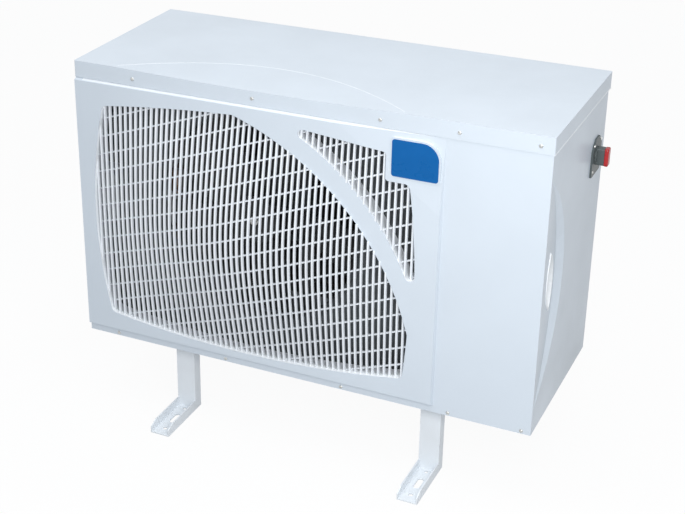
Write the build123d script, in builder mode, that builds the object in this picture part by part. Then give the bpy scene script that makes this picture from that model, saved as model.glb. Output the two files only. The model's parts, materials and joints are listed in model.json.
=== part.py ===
import os
from math import asin, atan2, ceil, cos, degrees, radians, sin, sqrt, tan

from build123d import *

os.makedirs("parts", exist_ok=True)

# A housed refrigeration condensing unit. X runs to the right seen from the front, Y to the rear, Z up.
# The origin lies on the floor, at the centre of the four feet's anchor holes. Sizes are in millimetres.

# Casing
casing_width = 1100.0
casing_depth = 438.0
casing_height = 683.0
leg_height = 180.0
steel = 1.5
moulding = 3.0
seat_gap = 0.3
cover_overlap = 2.0
cover_flange = 38.0
rear_overhang = 12.0
corner_radius = 3.0

# Dip pressed into the front of the top cover
dip_depth = 5.0
dip_half_width = 350.0
dip_length = 142.0
dip_offset = -105.0

# Base pan
pan_flange = 30.0
pan_lip = 12.0
pan_rib_width = 22.0
pan_rib_height = 5.0
pan_rib_xs = (250.0, 540.0, 760.0)

# Front panel and its raised field
field_height = 8.0
field_step = 4.0
field_bottom = 19.0
field_right = 877.0
field_fade_width = 237.0
field_fade_height = 173.0
panel_bottom = 2.0
panel_return = 20.0
window_wall = 2.5
window_depth = 40.0
window_root = 0.8

# Grille
bar_pitch = 13.5
bar_width = 3.8
bar_depth = 8.0
cross_pitch = 42.0
cross_angle = 19.5
cross_width = 3.2
cross_depth = 5.0
cross_setback = 3.0
dome_height = 48.0
dome_x = 395.0
dome_z = 315.0
dome_left = 357.0
dome_right = 429.0
dome_down = 273.0
dome_up = 300.0
dome_softness = 0.35
grille_recess = 1.0

# Badge
badge_x = 816.0
badge_z = 586.5
badge_width = 102.0
badge_height = 81.0
badge_thickness = 1.5
badge_border = 4.0
badge_small_radius = 6.0
badge_large_radius = 36.0

# Side panels, their scoop and handle cup
scoop_depth = 15.0
scoop_reach = 150.0
scoop_low = 50.0
scoop_high = 603.0
scoop_taper = 58.0
scoop_run_out = 30.0
cup_y = 70.0
cup_z = 334.0
cup_length = 138.0
cup_width = 62.0
cup_depth = 26.0
cup_wall = 2.0
cup_rim = 4.0
cup_tilt = 9.0
cup_clearance = 8.0
cup_facets = 8

# Isolator on the right side panel
isolator_y = 355.0
isolator_z = 517.0
isolator_width = 72.0
isolator_height = 84.0
isolator_plate_thickness = 4.0
isolator_chamfer = 22.0
knob_height = 38.0
knob_width = 15.0
knob_length = 27.0
knob_dial_radius = 21.0
knob_dial_height = 4.0
knob_cap = 4.0
knob_chamfer = 8.0
knob_shaft_radius = 3.0
knob_hole_radius = 8.0

# Feet
foot_x = 311.0
foot_width = 48.0
foot_sheet = 3.0
foot_web_back = 40.0
foot_side_depth = 27.0
foot_reach = 134.0
foot_side_height = 25.0
foot_tip_height = 16.0
foot_tip_slope = 22.0
foot_flange = 42.0
foot_tip_hole = 68.0
foot_heel_hole = 11.0
foot_hole_radius = 5.5
foot_heel_hole_radius = 4.5
foot_slot_length = 40.0
foot_slot_width = 14.0
foot_slot_back = 60.0

# Facets around pieces that are round in outline only
round_facets = 12
half_facet = 180 / round_facets
scoop_facets = 14
shell_facets = 16
orifice_facets = 28

# Fan
fan_x = 395.0
fan_z = 325.0
orifice_back = 90.0
orifice_radius = 254.0
orifice_lip = 18.0
orifice_depth = 55.0
fan_tip_radius = 247.0
fan_hub_radius = 58.0
fan_hub_length = 62.0
fan_hub_wall = 3.0
fan_front = 107.0
blade_count = 5
blade_thickness = 3.0
blade_root_chord = 96.0
blade_tip_chord = 165.0
blade_root_angle = 36.0
blade_tip_angle = 20.0
blade_camber = 0.09
blade_facets = 4
blade_rows = 3
blade_root_radius = 52.0
blade_skew = 14.0
motor_radius = 62.0
motor_length = 112.0
motor_boss_radius = 34.0
motor_boss_length = 10.0
motor_flange = 124.0
shaft_radius = 6.0
running_clearance = 0.05
bracket_width = 150.0
bracket_rail = 28.0
bracket_sheet = 2.0

# Condenser coil
coil_depth = 38.0
coil_front = 365.0
coil_right = 825.0
coil_left = 52.0
coil_low = 12.0
coil_high = 24.0
fin_pitch = 24.0
fin_thickness = 0.9
end_plate = 1.5
tube_radius = 4.8
tube_rows = 2
tubes_high = 8
tube_facets = 6
bend_reach = 4.0
bend_depth = 24.0
header_radius = 9.0
header_out = 25.0

# Service compartment
partition_x = 885.0
partition_flange = 15.0
hot_pipe_depth = 309.0
hot_pipe_height = 420.0
cold_pipe_depth = 294.0
post_width = 30.0

# Compressor
compressor_x = 990.0
compressor_y = 172.0
compressor_radius = 82.0
compressor_height = 288.0
compressor_round = 34.0
foot_plate = 172.0
foot_plate_thickness = 4.0
foot_plate_spacing = 146.0
grommet_height = 18.0
grommet_radius = 13.0
suction_port_z = 150.0
discharge_port_height = 20.0

# Pipes
suction_radius = 11.1
discharge_radius = 8.0
liquid_radius = 6.35
pipe_wall = 1.0
pipe_facets = 12

# Receiver, drier and sight glass
receiver_x = 933.0
receiver_y = 357.0
receiver_radius = 44.0
receiver_height = 300.0
receiver_round = 26.0
strap_width = 24.0
drier_y = 377.0
drier_radius = 25.0
drier_length = 120.0
drier_z = 210.0
glass_length = 34.0
glass_across = 24.0

# Service valves
suction_valve_x = 1000.0
liquid_valve_x = 1045.0
valve_y = 382.0
suction_valve_z = 80.0
liquid_valve_z = 45.0
suction_valve_size = 34.0
liquid_valve_size = 26.0
spindle_radius = 5.0
valve_cap_height = 30.0
valve_cap_wall = 2.0
valve_neck_height = 8.0
neck_wall = 4.0
stub_end_inset = 4.0

# Control box
control_front = 237.0
control_back = 393.0
control_bottom = 458.0
control_top = 668.0
control_sheet = 1.2
switch_length = 52.0

# Pressure switch
pressure_switch_y = 30.0
pressure_switch_z = 380.0
reset_radius = 4.0
reset_travel = 3.0


# Places worked out from the sizes above
casing_left = -casing_width / 2
cover_front = -casing_depth / 2
cover_rear = casing_depth / 2
panel_front = cover_front + cover_overlap
panel_back = panel_front + moulding
side_x = casing_width / 2 - cover_overlap
side_inner = side_x - steel
rear_y = cover_rear - rear_overhang
rear_inner = rear_y - steel
pan_bottom = leg_height
pan_top = pan_bottom + steel
roof_top = leg_height + casing_height
roof_under = roof_top - steel
wall_top = roof_under - seat_gap
front_wall_top = wall_top - dip_depth


def across(distance):
    """Place along X, counted from the casing's left side."""
    return casing_left + distance


def deep(distance):
    """Place along Y, counted from the front of the top cover."""
    return cover_front + distance


def high(distance):
    """Place along Z, counted from the underside of the base pan."""
    return leg_height + distance


def front_plane(y):
    """Sketch plane facing the front, whose own axes are X and Z."""
    return Plane(origin=(0, y, 0), x_dir=(1, 0, 0), z_dir=(0, -1, 0))


def side_plane(x):
    """Sketch plane facing right, whose own axes are Y and Z."""
    return Plane(origin=(x, 0, 0), x_dir=(0, 1, 0), z_dir=(1, 0, 0))


def write_part(part, name):
    part.label = name
    export_step(part, "parts/" + name + ".step")


# Windows of the front panel: each is bounded by a few large circles, given by centre and radius
main_top = (557.8, -2806.4, 3429.2)
main_left = (1110.5, 324.0, 1072.5)
main_bottom = (428.5, 2280.2, 2241.3)
main_band = (202.1, 17.1, 633.0)
main_right = (-2181.9, 346.7, 3000.0)
crescent_top = (-511.6, -11339.2, 12000.0)
crescent_right = (-951.0, 265.5, 1777.1)
crescent_band = (285.4, 103.5, 559.3)
crescent_reach = (440.0, 860.0, 180.0, 640.0)
badge_notch = (752.0, 532.0)


def main_window_outline(grow):
    with BuildSketch() as outline:
        with Locations((0, high(casing_height / 2))):
            Rectangle(casing_width, casing_height)
        for circle in (main_top, main_left, main_bottom, main_band, main_right):
            with Locations((across(circle[0]), high(circle[1]))):
                Circle(circle[2] + grow, mode=Mode.INTERSECT)
        for corner, radius in (
            ((71, 588), 16),
            ((69, 68), 14),
            ((806, 71), 16),
            ((814, 179), 14),
            ((398, 619), 10),
        ):
            place = (across(corner[0]), high(corner[1]))
            fillet(outline.vertices().sort_by_distance(place)[0], radius + grow)
    return outline.sketch


def crescent_window_outline(grow):
    left, right, low, top = crescent_reach
    with BuildSketch() as outline:
        with Locations((across((left + right) / 2), high((low + top) / 2))):
            Rectangle(right - left, top - low)
        for circle in (crescent_top, crescent_right):
            with Locations((across(circle[0]), high(circle[1]))):
                Circle(circle[2] + grow, mode=Mode.INTERSECT)
        with Locations((across(crescent_band[0]), high(crescent_band[1]))):
            Circle(crescent_band[2] - grow, mode=Mode.SUBTRACT)
        with Locations((across(badge_notch[0] + grow), high(badge_notch[1] + grow))):
            Rectangle(casing_width, casing_width, align=(Align.MIN, Align.MIN), mode=Mode.SUBTRACT)
        for corner, radius in (
            ((500, 620), 11 + grow),
            ((826, 247), 12 + grow),
            ((752, 596), 8 + grow),
            ((752, 532), 7 - grow),
            ((806, 532), 14 + grow),
        ):
            place = (across(corner[0]), high(corner[1]))
            fillet(outline.vertices().sort_by_distance(place)[0], radius)
    return outline.sketch


windows = (main_window_outline, crescent_window_outline)


# Top cover: a flanged lid whose front edge dips in a shallow curve
def cover_form(inset, drop, height):
    """Solid block with the cover's outer shape, moved in and down by a sheet's thickness."""
    dip_radius = (dip_half_width**2 + dip_depth**2) / (2 * dip_depth)
    slope = atan2(dip_depth, dip_length)
    dip_plane = Plane(
        origin=(dip_offset, cover_front, roof_top - drop - dip_depth),
        x_dir=(1, 0, 0),
        z_dir=(0, -cos(slope), -sin(slope)),
    )
    with BuildPart() as form:
        with BuildSketch(Plane.XY.offset(roof_top - cover_flange)):
            RectangleRounded(casing_width - 2 * inset, casing_depth - 2 * inset, corner_radius - inset)
        extrude(amount=height)
        with BuildSketch(dip_plane):
            with Locations((0, dip_radius)):
                Circle(dip_radius)
        extrude(amount=2 * dip_length, both=True, mode=Mode.SUBTRACT)
    return form.part


with BuildPart() as top_cover:
    add(cover_form(0, 0, cover_flange))
    add(cover_form(steel, steel, cover_flange - steel), mode=Mode.SUBTRACT)

write_part(top_cover.part, "top_cover")


# Base pan: an open tray with upturned flanges, a low rear lip and pressed ribs
pan_front = panel_back + seat_gap
pan_half_width = side_inner - seat_gap
pan_rear = cover_rear - cover_overlap
pan_depth = pan_rear - pan_front
pan_middle = (pan_front + pan_rear) / 2
compressor_centre = (across(compressor_x), deep(compressor_y))
grommet_reach = foot_plate_spacing / 2
grommet_places = [
    (compressor_centre[0] + side * grommet_reach, compressor_centre[1] + end * grommet_reach)
    for side in (-1, 1)
    for end in (-1, 1)
]
pan_rib_places = [(across(x), 0) for x in pan_rib_xs]

with BuildPart() as base_pan:
    with BuildSketch(Plane.XY.offset(pan_bottom)):
        with Locations((0, pan_middle)):
            RectangleRounded(2 * pan_half_width, pan_depth, corner_radius)
    extrude(amount=pan_flange)
    with BuildSketch(Plane.XY.offset(pan_top)):
        with Locations((0, pan_middle)):
            RectangleRounded(2 * (pan_half_width - steel), pan_depth - 2 * steel, corner_radius - steel)
    extrude(amount=pan_flange, mode=Mode.SUBTRACT)
    with BuildSketch(front_plane(pan_rear)):
        with Locations((0, pan_bottom + pan_lip + pan_flange / 2)):
            Rectangle(2 * pan_half_width, pan_flange)
    extrude(amount=pan_rear - rear_y, mode=Mode.SUBTRACT)
    with BuildSketch(Plane.XY.offset(pan_bottom)):
        with Locations(*pan_rib_places):
            Rectangle(pan_rib_width, pan_depth / 2)
    extrude(amount=pan_rib_height, taper=30)
    with BuildSketch(Plane.XY.offset(pan_bottom)):
        with Locations(*pan_rib_places):
            Rectangle(pan_rib_width - 2 * steel, pan_depth / 2 - 2 * steel)
    extrude(amount=pan_rib_height - steel, taper=30, mode=Mode.SUBTRACT)

write_part(base_pan.part, "base_pan")


# Feet: a folded bracket whose two side plates run down the web and along the base
foot_web_y = cover_front + foot_web_back
foot_tip_y = foot_web_y - foot_reach
foot_heel_y = foot_web_y + foot_side_depth


def make_foot(x, end):
    """One foot: end is -1 at the front of the unit and 1 at the rear."""
    side_top = leg_height - foot_sheet
    side_outline = [
        (-foot_tip_y, 0),
        (-foot_tip_y, foot_tip_height),
        (-foot_tip_y - foot_tip_slope, foot_side_height),
        (-foot_web_y, foot_side_height),
        (-foot_web_y, side_top),
        (-foot_heel_y, side_top),
        (-foot_heel_y, 0),
    ]
    outline = [(end * y, z) for y, z in side_outline]
    base_length = foot_heel_y - foot_tip_y
    web_plane = Plane.XY.offset(0)
    with BuildPart() as foot:
        for side in (-1, 1):
            with BuildSketch(side_plane(x + side * (foot_width - foot_sheet) / 2)):
                with BuildLine():
                    Polyline(*outline, close=True)
                make_face()
        extrude(amount=foot_sheet / 2, both=True)
        with BuildSketch(web_plane):
            with Locations((x, -end * (foot_web_y + foot_tip_y) / 2)):
                Rectangle(foot_width, foot_web_y - foot_tip_y)
        extrude(amount=foot_sheet)
        with BuildSketch(web_plane):
            with Locations((x, -end * (foot_web_y + foot_sheet / 2))):
                Rectangle(foot_width, foot_sheet)
        extrude(amount=leg_height)
        with BuildSketch(Plane.XY.offset(side_top)):
            with Locations((x, -end * (foot_web_y + foot_flange / 2))):
                Rectangle(foot_width, foot_flange)
        extrude(amount=foot_sheet)
        with BuildSketch(web_plane):
            with Locations((x, -end * (foot_tip_y + foot_reach - foot_heel_hole))):
                RegularPolygon(foot_heel_hole_radius, round_facets)
            with Locations((x, -end * (foot_tip_y + foot_reach - foot_slot_back))):
                slot = Rectangle(foot_slot_width, foot_slot_length)
            chamfer(slot.vertices(), foot_slot_width / 3)
            with Locations((x, end * (abs(cover_front) + foot_tip_hole))):
                Circle(foot_hole_radius)
        extrude(amount=foot_sheet, mode=Mode.SUBTRACT)
    return foot.part


for foot_name, x, end in (
    ("foot_front_left", -foot_x, -1),
    ("foot_front_right", foot_x, -1),
    ("foot_rear_left", -foot_x, 1),
    ("foot_rear_right", foot_x, 1),
):
    write_part(make_foot(x, end), foot_name)


# Front panel: one moulding with a raised field, two windows and their deep walls
panel_low = pan_bottom + panel_bottom
panel_high = front_wall_top
field_top = roof_top - cover_flange - 1.0
return_x = side_x - 5.0
fade_side = Vector(-field_fade_width, -field_height, 0)
fade_down = Vector(0, -field_height, -field_fade_height)


def raised_field(inset, back):
    """Chamfered block of the field, cut back to the plain face towards its upper right corner."""
    left = across(0) - field_step
    right = across(field_right) - inset
    low = high(field_bottom) + inset
    top = field_top - inset
    with BuildPart() as field:
        with BuildSketch(front_plane(panel_front + back)):
            with Locations(((left + right) / 2, (low + top) / 2)):
                Rectangle(right - left, top - low)
        extrude(amount=field_height, taper=degrees(atan2(field_step, field_height)))
        corner = (across(field_right), panel_front + back, field_top)
        with BuildSketch(Plane(origin=corner, x_dir=fade_side, z_dir=fade_side.cross(fade_down))):
            Rectangle(4 * casing_width, 4 * casing_width)
        extrude(amount=4 * field_height, mode=Mode.SUBTRACT)
        with BuildSketch(side_plane(-side_x + inset)):
            with Locations((panel_front, (low + top) / 2)):
                Rectangle(4 * field_height, 2 * casing_height)
        extrude(amount=-50, mode=Mode.SUBTRACT)
    return field.part


def badge_outline(grow):
    """Rounded badge shape with one large corner, grown by a border."""
    half_w = badge_width / 2 + grow
    half_h = badge_height / 2 + grow
    x = across(badge_x)
    z = high(badge_z)
    corners = (
        ((x + half_w, z + half_h), badge_large_radius),
        ((x - half_w, z + half_h), badge_small_radius),
        ((x - half_w, z - half_h), badge_small_radius),
        ((x + half_w, z - half_h), badge_small_radius),
    )
    with BuildSketch() as outline:
        with Locations((x, z)):
            Rectangle(2 * half_w, 2 * half_h)
        for corner, radius in corners:
            fillet(outline.vertices().sort_by_distance(corner)[0], radius + grow)
    return outline.sketch


return_low = pan_bottom + pan_flange + 1

with BuildPart() as front_panel:
    with BuildSketch(front_plane(panel_back)):
        with Locations((0, (panel_low + panel_high) / 2)):
            Rectangle(2 * side_x, panel_high - panel_low)
    extrude(amount=moulding)
    add(raised_field(0, 0))
    add(raised_field(moulding * 0.6, moulding), mode=Mode.SUBTRACT)
    with BuildSketch(front_plane(panel_front)):
        add(badge_outline(badge_border))
    extrude(amount=field_height)
    for side in (-1, 1):
        with BuildSketch(front_plane(panel_back - 0.5)):
            with Locations((side * (return_x - moulding / 2), (return_low + panel_high) / 2)):
                Rectangle(moulding, panel_high - return_low)
        extrude(amount=-panel_return)
    for window_outline in windows:
        with BuildSketch(front_plane(panel_front - field_height + moulding - window_root)):
            add(window_outline(window_wall))
        extrude(amount=-window_depth)
    for window_outline in windows:
        with BuildSketch(front_plane(panel_front)):
            add(window_outline(0))
        extrude(amount=2 * window_depth, both=True, mode=Mode.SUBTRACT)

write_part(front_panel.part, "front_panel")


# Grille: upright bars and slanted cross bars lying on one dome that fills both windows
def fall(distance, reach):
    """Share of the dome's height lost at a distance: round at the crown, straight further out."""
    run = distance / reach
    return (sqrt(run**2 + dome_softness**2) - dome_softness) / (sqrt(1 + dome_softness**2) - dome_softness)


def dome_y(x, z):
    """Y of the dome's front at a place counted from the casing's left side and the pan's underside."""
    sideways = fall(x - dome_x, dome_left if x < dome_x else dome_right)
    upright = fall(z - dome_z, dome_down if z < dome_z else dome_up)
    return panel_front + grille_recess - dome_height * max(0.0, 1 - sideways) * max(0.0, 1 - upright)


window_left = 36.0
window_right = 828.0
window_low = 37.0
window_high = 622.0
bar_steps = 4
first_bar = 44.0
bar_count = int((window_right - first_bar) / bar_pitch) + 1
bar_levels = [window_low + (window_high - window_low) * i / bar_steps for i in range(bar_steps + 1)]


def bar_front(x, z):
    """Y of an upright bar's front, which runs straight from one level to the next."""
    step = bar_levels[1] - bar_levels[0]
    index = min(bar_steps - 1, max(0, int((z - window_low) / step)))
    share = (z - bar_levels[index]) / step
    return dome_y(x, bar_levels[index]) * (1 - share) + dome_y(x, bar_levels[index + 1]) * share


def bar_profile(points, depth):
    """Face between the dome's line through the points and the same line set back by a depth."""
    set_back = [(u + depth, v) for u, v in reversed(points)]
    with BuildSketch() as profile:
        with BuildLine():
            Polyline(*points, *set_back, close=True)
        make_face()
    return profile.sketch


with BuildPart() as window_columns:
    with BuildSketch(front_plane(panel_front)):
        for window_outline in windows:
            add(window_outline(0))
    extrude(amount=2 * dome_height, both=True)

with BuildPart() as grille_vertical_bars:
    for index in range(bar_count):
        x = first_bar + index * bar_pitch
        with BuildSketch(side_plane(across(x))):
            add(bar_profile([(dome_y(x, z), high(z)) for z in bar_levels], bar_depth))
    extrude(amount=bar_width / 2, both=True)
    add(window_columns.part, mode=Mode.INTERSECT)

write_part(grille_vertical_bars.part, "grille_vertical_bars")

first_cross_bar = 66.0
cross_rise = tan(radians(cross_angle)) * (window_right - window_left)
cross_count = ceil((window_high - window_low + cross_rise) / cross_pitch)

with BuildPart() as grille_cross_bars:
    for index in range(cross_count):
        start_z = first_cross_bar - cross_rise + index * cross_pitch
        plane = Plane(
            origin=(across(window_left), 0, high(start_z)),
            x_dir=(0, 1, 0),
            z_dir=(-sin(radians(cross_angle)), 0, cos(radians(cross_angle))),
        )
        run = (window_right - window_left) / cos(radians(cross_angle))
        points = []
        for i in range(bar_steps + 1):
            along = run * i / bar_steps
            x = window_left + along * cos(radians(cross_angle))
            z = start_z + along * sin(radians(cross_angle))
            points.append((bar_front(x, z) + bar_depth + cross_setback, -along))
        with BuildSketch(plane):
            add(bar_profile(points, cross_depth))
    extrude(amount=cross_width / 2, both=True)
    add(window_columns.part, mode=Mode.INTERSECT)

write_part(grille_cross_bars.part, "grille_cross_bars")

with BuildPart() as badge_plate:
    with BuildSketch(front_plane(panel_front - field_height)):
        add(badge_outline(0))
    extrude(amount=badge_thickness)

write_part(badge_plate.part, "badge_plate")


# Side panels: a flat sheet with a scoop that opens to the front edge, and a cup to lift by
scoop_angle = atan2(scoop_depth, scoop_reach)
panel_edge = panel_back + seat_gap
side_low = pan_bottom + panel_bottom
scoop_plane = Plane(
    origin=(side_x, panel_edge, 0),
    x_dir=(-sin(scoop_angle), cos(scoop_angle), 0),
    z_dir=(cos(scoop_angle), sin(scoop_angle), 0),
)


def scoop_form(shift):
    """Scoop with sloping walls: a curved outline in short straight facets, down to a tilted floor."""
    bulge = scoop_reach + scoop_run_out + shift
    half = (scoop_high - scoop_low) / 2 + shift
    radius = (half**2 + bulge**2) / (2 * bulge)
    sweep_angle = asin(half / radius)
    middle_z = high((scoop_low + scoop_high) / 2)
    outline = []
    for i in range(scoop_facets + 1):
        angle = sweep_angle * (2 * i / scoop_facets - 1)
        y = panel_edge + scoop_reach + shift - radius + radius * cos(angle)
        outline.append((y, middle_z + radius * sin(angle)))
    floor_origin = scoop_plane.origin - Vector(shift, 0, 0)
    with BuildPart() as scoop:
        with BuildSketch(side_plane(side_x)):
            with BuildLine():
                Polyline(*outline, close=True)
            make_face()
        extrude(amount=-2 * scoop_depth, taper=scoop_taper)
        with BuildSketch(Plane(floor_origin, x_dir=scoop_plane.x_dir, z_dir=scoop_plane.z_dir)):
            Rectangle(4 * casing_depth, 4 * casing_height)
        extrude(amount=-100, mode=Mode.SUBTRACT)
        with BuildSketch(front_plane(panel_edge)):
            Rectangle(4 * casing_width, 4 * casing_height)
        extrude(amount=100, mode=Mode.SUBTRACT)
    return scoop.part


def cup_outline(grow):
    """Leaf shape of the handle cup in the plane of the scoop's floor, in short straight facets."""
    half = cup_length / 2 + grow
    bulge = cup_width / 2 + grow
    radius = (half**2 + bulge**2) / (2 * bulge)
    sweep_angle = asin(half / radius)
    right_side = []
    for i in range(cup_facets + 1):
        angle = sweep_angle * (2 * i / cup_facets - 1)
        right_side.append((radius * cos(angle) - radius + bulge, radius * sin(angle)))
    left_side = [(-u, v) for u, v in reversed(right_side[1:-1])]
    with BuildSketch() as outline:
        with BuildLine():
            Polyline(*right_side, *left_side, close=True)
        make_face()
    return outline.sketch.moved(Location((cup_y, high(cup_z), 0), cup_tilt))


with BuildPart() as side_panel_blank:
    with BuildSketch(side_plane(side_inner)):
        with Locations(((panel_edge + rear_y) / 2, (side_low + wall_top) / 2)):
            Rectangle(rear_y - panel_edge, wall_top - side_low)
    extrude(amount=steel)
    add(scoop_form(steel))
    add(scoop_form(0), mode=Mode.SUBTRACT)
    with BuildSketch(scoop_plane):
        add(cup_outline(seat_gap))
    extrude(amount=4 * steel, both=True, mode=Mode.SUBTRACT)

with BuildPart() as handle_cup_right:
    with BuildSketch(scoop_plane):
        add(cup_outline(cup_rim))
    extrude(amount=cup_wall)
    with BuildSketch(scoop_plane):
        add(cup_outline(0))
    extrude(amount=-cup_depth)
    with BuildSketch(scoop_plane.offset(cup_wall)):
        add(cup_outline(-cup_wall))
    extrude(amount=-cup_depth, mode=Mode.SUBTRACT)

write_part(handle_cup_right.part, "handle_cup_right")

with BuildPart() as handle_cup_left:
    mirror(handle_cup_right.part, about=Plane.YZ)

write_part(handle_cup_left.part, "handle_cup_left")

isolator_place = (deep(isolator_y), high(isolator_z))

with BuildPart() as right_side_panel:
    add(side_panel_blank.part)
    with BuildSketch(side_plane(side_inner)):
        with Locations(isolator_place):
            RegularPolygon(knob_hole_radius, round_facets)
    extrude(amount=2 * steel, both=True, mode=Mode.SUBTRACT)

write_part(right_side_panel.part, "right_side_panel")

with BuildPart() as left_side_panel:
    mirror(side_panel_blank.part, about=Plane.YZ)

write_part(left_side_panel.part, "left_side_panel")


# Places of the condenser coil's plates, tubes and headers
coil_y = deep(coil_front)
fins_low = pan_top + coil_low
fins_high = roof_under - coil_high
fins_left = across(coil_left)
fins_right = across(coil_right)
fin_count = int((fins_right - fins_left - 2 * end_plate) / fin_pitch)
tube_pitch = (fins_high - fins_low) / tubes_high
row_pitch = coil_depth / tube_rows
tube_rows_y = [coil_y + row_pitch * (i + 0.5) for i in range(tube_rows)]
tube_levels = [fins_low + tube_pitch * (i + 0.5) for i in range(tubes_high)]
header_x = fins_right + header_out
hot_header_z = tube_levels[-1]
cold_header_z = tube_levels[0]


# Corner posts, partition, rear guard and rear service panel
post_out = pan_half_width - steel - seat_gap
post_back = rear_inner - seat_gap


def corner_post(side):
    with BuildPart() as post:
        with BuildSketch(Plane.XY.offset(pan_top)):
            with BuildLine():
                Polyline(
                    (side * post_out, post_back - post_width),
                    (side * post_out, post_back),
                    (side * (post_out - post_width), post_back),
                    (side * (post_out - post_width), post_back - steel),
                    (side * (post_out - steel), post_back - steel),
                    (side * (post_out - steel), post_back - post_width),
                    close=True,
                )
            make_face()
        extrude(amount=wall_top - pan_top)
    return post.part


write_part(corner_post(-1), "corner_post_left")
write_part(corner_post(1), "corner_post_right")

partition_web = across(partition_x)
hot_pipe_y = deep(hot_pipe_depth)
hot_pipe_z = high(hot_pipe_height)
cold_pipe_y = deep(cold_pipe_depth)
cold_pipe_z = cold_header_z
pipe_hole_clearance = 2.0

with BuildPart() as partition_panel:
    with BuildSketch(Plane.XY.offset(pan_top)):
        with BuildLine():
            Polyline(
                (partition_web, panel_edge),
                (partition_web, post_back),
                (partition_web + partition_flange, post_back),
                (partition_web + partition_flange, post_back - steel),
                (partition_web + steel, post_back - steel),
                (partition_web + steel, panel_edge + steel),
                (partition_web + partition_flange, panel_edge + steel),
                (partition_web + partition_flange, panel_edge),
                close=True,
            )
        make_face()
    extrude(amount=wall_top - pan_top)
    with BuildSketch(side_plane(partition_web)):
        with Locations((hot_pipe_y, hot_pipe_z)):
            RegularPolygon(discharge_radius + pipe_hole_clearance, round_facets)
        with Locations((cold_pipe_y, cold_pipe_z)):
            RegularPolygon(liquid_radius + pipe_hole_clearance, round_facets)
        with Locations((panel_edge, pan_bottom + pan_flange / 2)):
            Rectangle(2 * (steel + seat_gap), pan_flange + 1)
    extrude(amount=2 * partition_flange, both=True, mode=Mode.SUBTRACT)

write_part(partition_panel.part, "partition_panel")

guard_left = -post_out
guard_right = partition_web + partition_flange - 1.0
guard_frame = 22.0
guard_wire = 3.0
guard_columns = 14
guard_rows = 1

with BuildPart() as coil_guard:
    with BuildSketch(front_plane(rear_y)):
        with Locations(((guard_left + guard_right) / 2, (pan_top + wall_top) / 2)):
            Rectangle(guard_right - guard_left, wall_top - pan_top)
    extrude(amount=steel)
    cell_width = (guard_right - guard_left - 2 * guard_frame) / guard_columns
    cell_height = (wall_top - pan_top - 2 * guard_frame) / guard_rows
    with BuildSketch(front_plane(rear_y)):
        with Locations(((guard_left + guard_right) / 2, (pan_top + wall_top) / 2)):
            with GridLocations(cell_width, cell_height, guard_columns, guard_rows):
                Rectangle(cell_width - guard_wire, cell_height - guard_wire)
    extrude(amount=2 * steel, both=True, mode=Mode.SUBTRACT)

write_part(coil_guard.part, "coil_guard")

gland_radius = 9.0
gland_hole = 6.5
gland_length = 11.0
gland_shank = 8.0
gland_place = (across(945.0), high(500.0))
suction_stub_place = (across(suction_valve_x), high(suction_valve_z))
liquid_stub_place = (across(liquid_valve_x), high(liquid_valve_z))
stub_hole_clearance = 3.0

with BuildPart() as rear_panel:
    panel_left = guard_right + 1.0
    with BuildSketch(front_plane(rear_y)):
        with Locations(((panel_left + post_out) / 2, (pan_top + wall_top) / 2)):
            Rectangle(post_out - panel_left, wall_top - pan_top)
        for place, radius in (
            (gland_place, gland_radius + seat_gap),
            (suction_stub_place, suction_radius + stub_hole_clearance),
            (liquid_stub_place, liquid_radius + stub_hole_clearance),
        ):
            with Locations(place):
                RegularPolygon(radius, round_facets, rotation=half_facet, mode=Mode.SUBTRACT)
    extrude(amount=steel)

write_part(rear_panel.part, "rear_panel")

with BuildPart() as cable_gland:
    with BuildSketch(front_plane(rear_y)):
        with Locations(gland_place):
            RegularPolygon(gland_radius, round_facets, rotation=half_facet)
    extrude(amount=gland_shank)
    with BuildSketch(front_plane(rear_y + gland_length)):
        with Locations(gland_place):
            RegularPolygon(gland_radius + moulding, 6, major_radius=False)
    extrude(amount=gland_length)
    with BuildSketch(front_plane(rear_y)):
        with Locations(gland_place):
            Circle(gland_hole)
    extrude(amount=3 * gland_length, both=True, mode=Mode.SUBTRACT)

write_part(cable_gland.part, "cable_gland")


# Fan orifice, fan, shaft, motor and its bracket
orifice_y = deep(orifice_back)
fan_centre = (across(fan_x), high(fan_z))
orifice_left = -post_out
orifice_right = partition_web - seat_gap

notch_depth = cup_depth + scoop_depth + cup_clearance

with BuildPart() as fan_orifice:
    with BuildSketch(front_plane(orifice_y + moulding)):
        with Locations(((orifice_left + orifice_right) / 2, (pan_top + seat_gap + front_wall_top) / 2)):
            Rectangle(orifice_right - orifice_left, front_wall_top - pan_top - seat_gap)
        with Locations((orifice_left, high(cup_z))):
            Rectangle(2 * notch_depth, cup_length + 2 * cup_clearance, mode=Mode.SUBTRACT)
    extrude(amount=moulding)
    mirror(scoop_form(steel + cup_clearance), about=Plane.YZ, mode=Mode.SUBTRACT)
    for outer, depth in (
        (orifice_radius + orifice_lip, orifice_lip),
        (orifice_radius + moulding, orifice_depth),
    ):
        with BuildSketch(front_plane(orifice_y + depth)):
            with Locations(fan_centre):
                RegularPolygon(outer, orifice_facets)
        extrude(amount=depth)
    with BuildSketch(front_plane(orifice_y)):
        with Locations(fan_centre):
            RegularPolygon(orifice_radius, orifice_facets)
    extrude(amount=-orifice_depth, mode=Mode.SUBTRACT)
    mouth_edges = fan_orifice.faces().sort_by(Axis.Y)[0].inner_wires()[0].edges()
    chamfer(mouth_edges, orifice_lip - moulding)

write_part(fan_orifice.part, "fan_orifice")

fan_y = deep(fan_front)
fan_plane = Plane(origin=(fan_centre[0], fan_y, fan_centre[1]), x_dir=(1, 0, 0), z_dir=(0, 1, 0))


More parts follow.
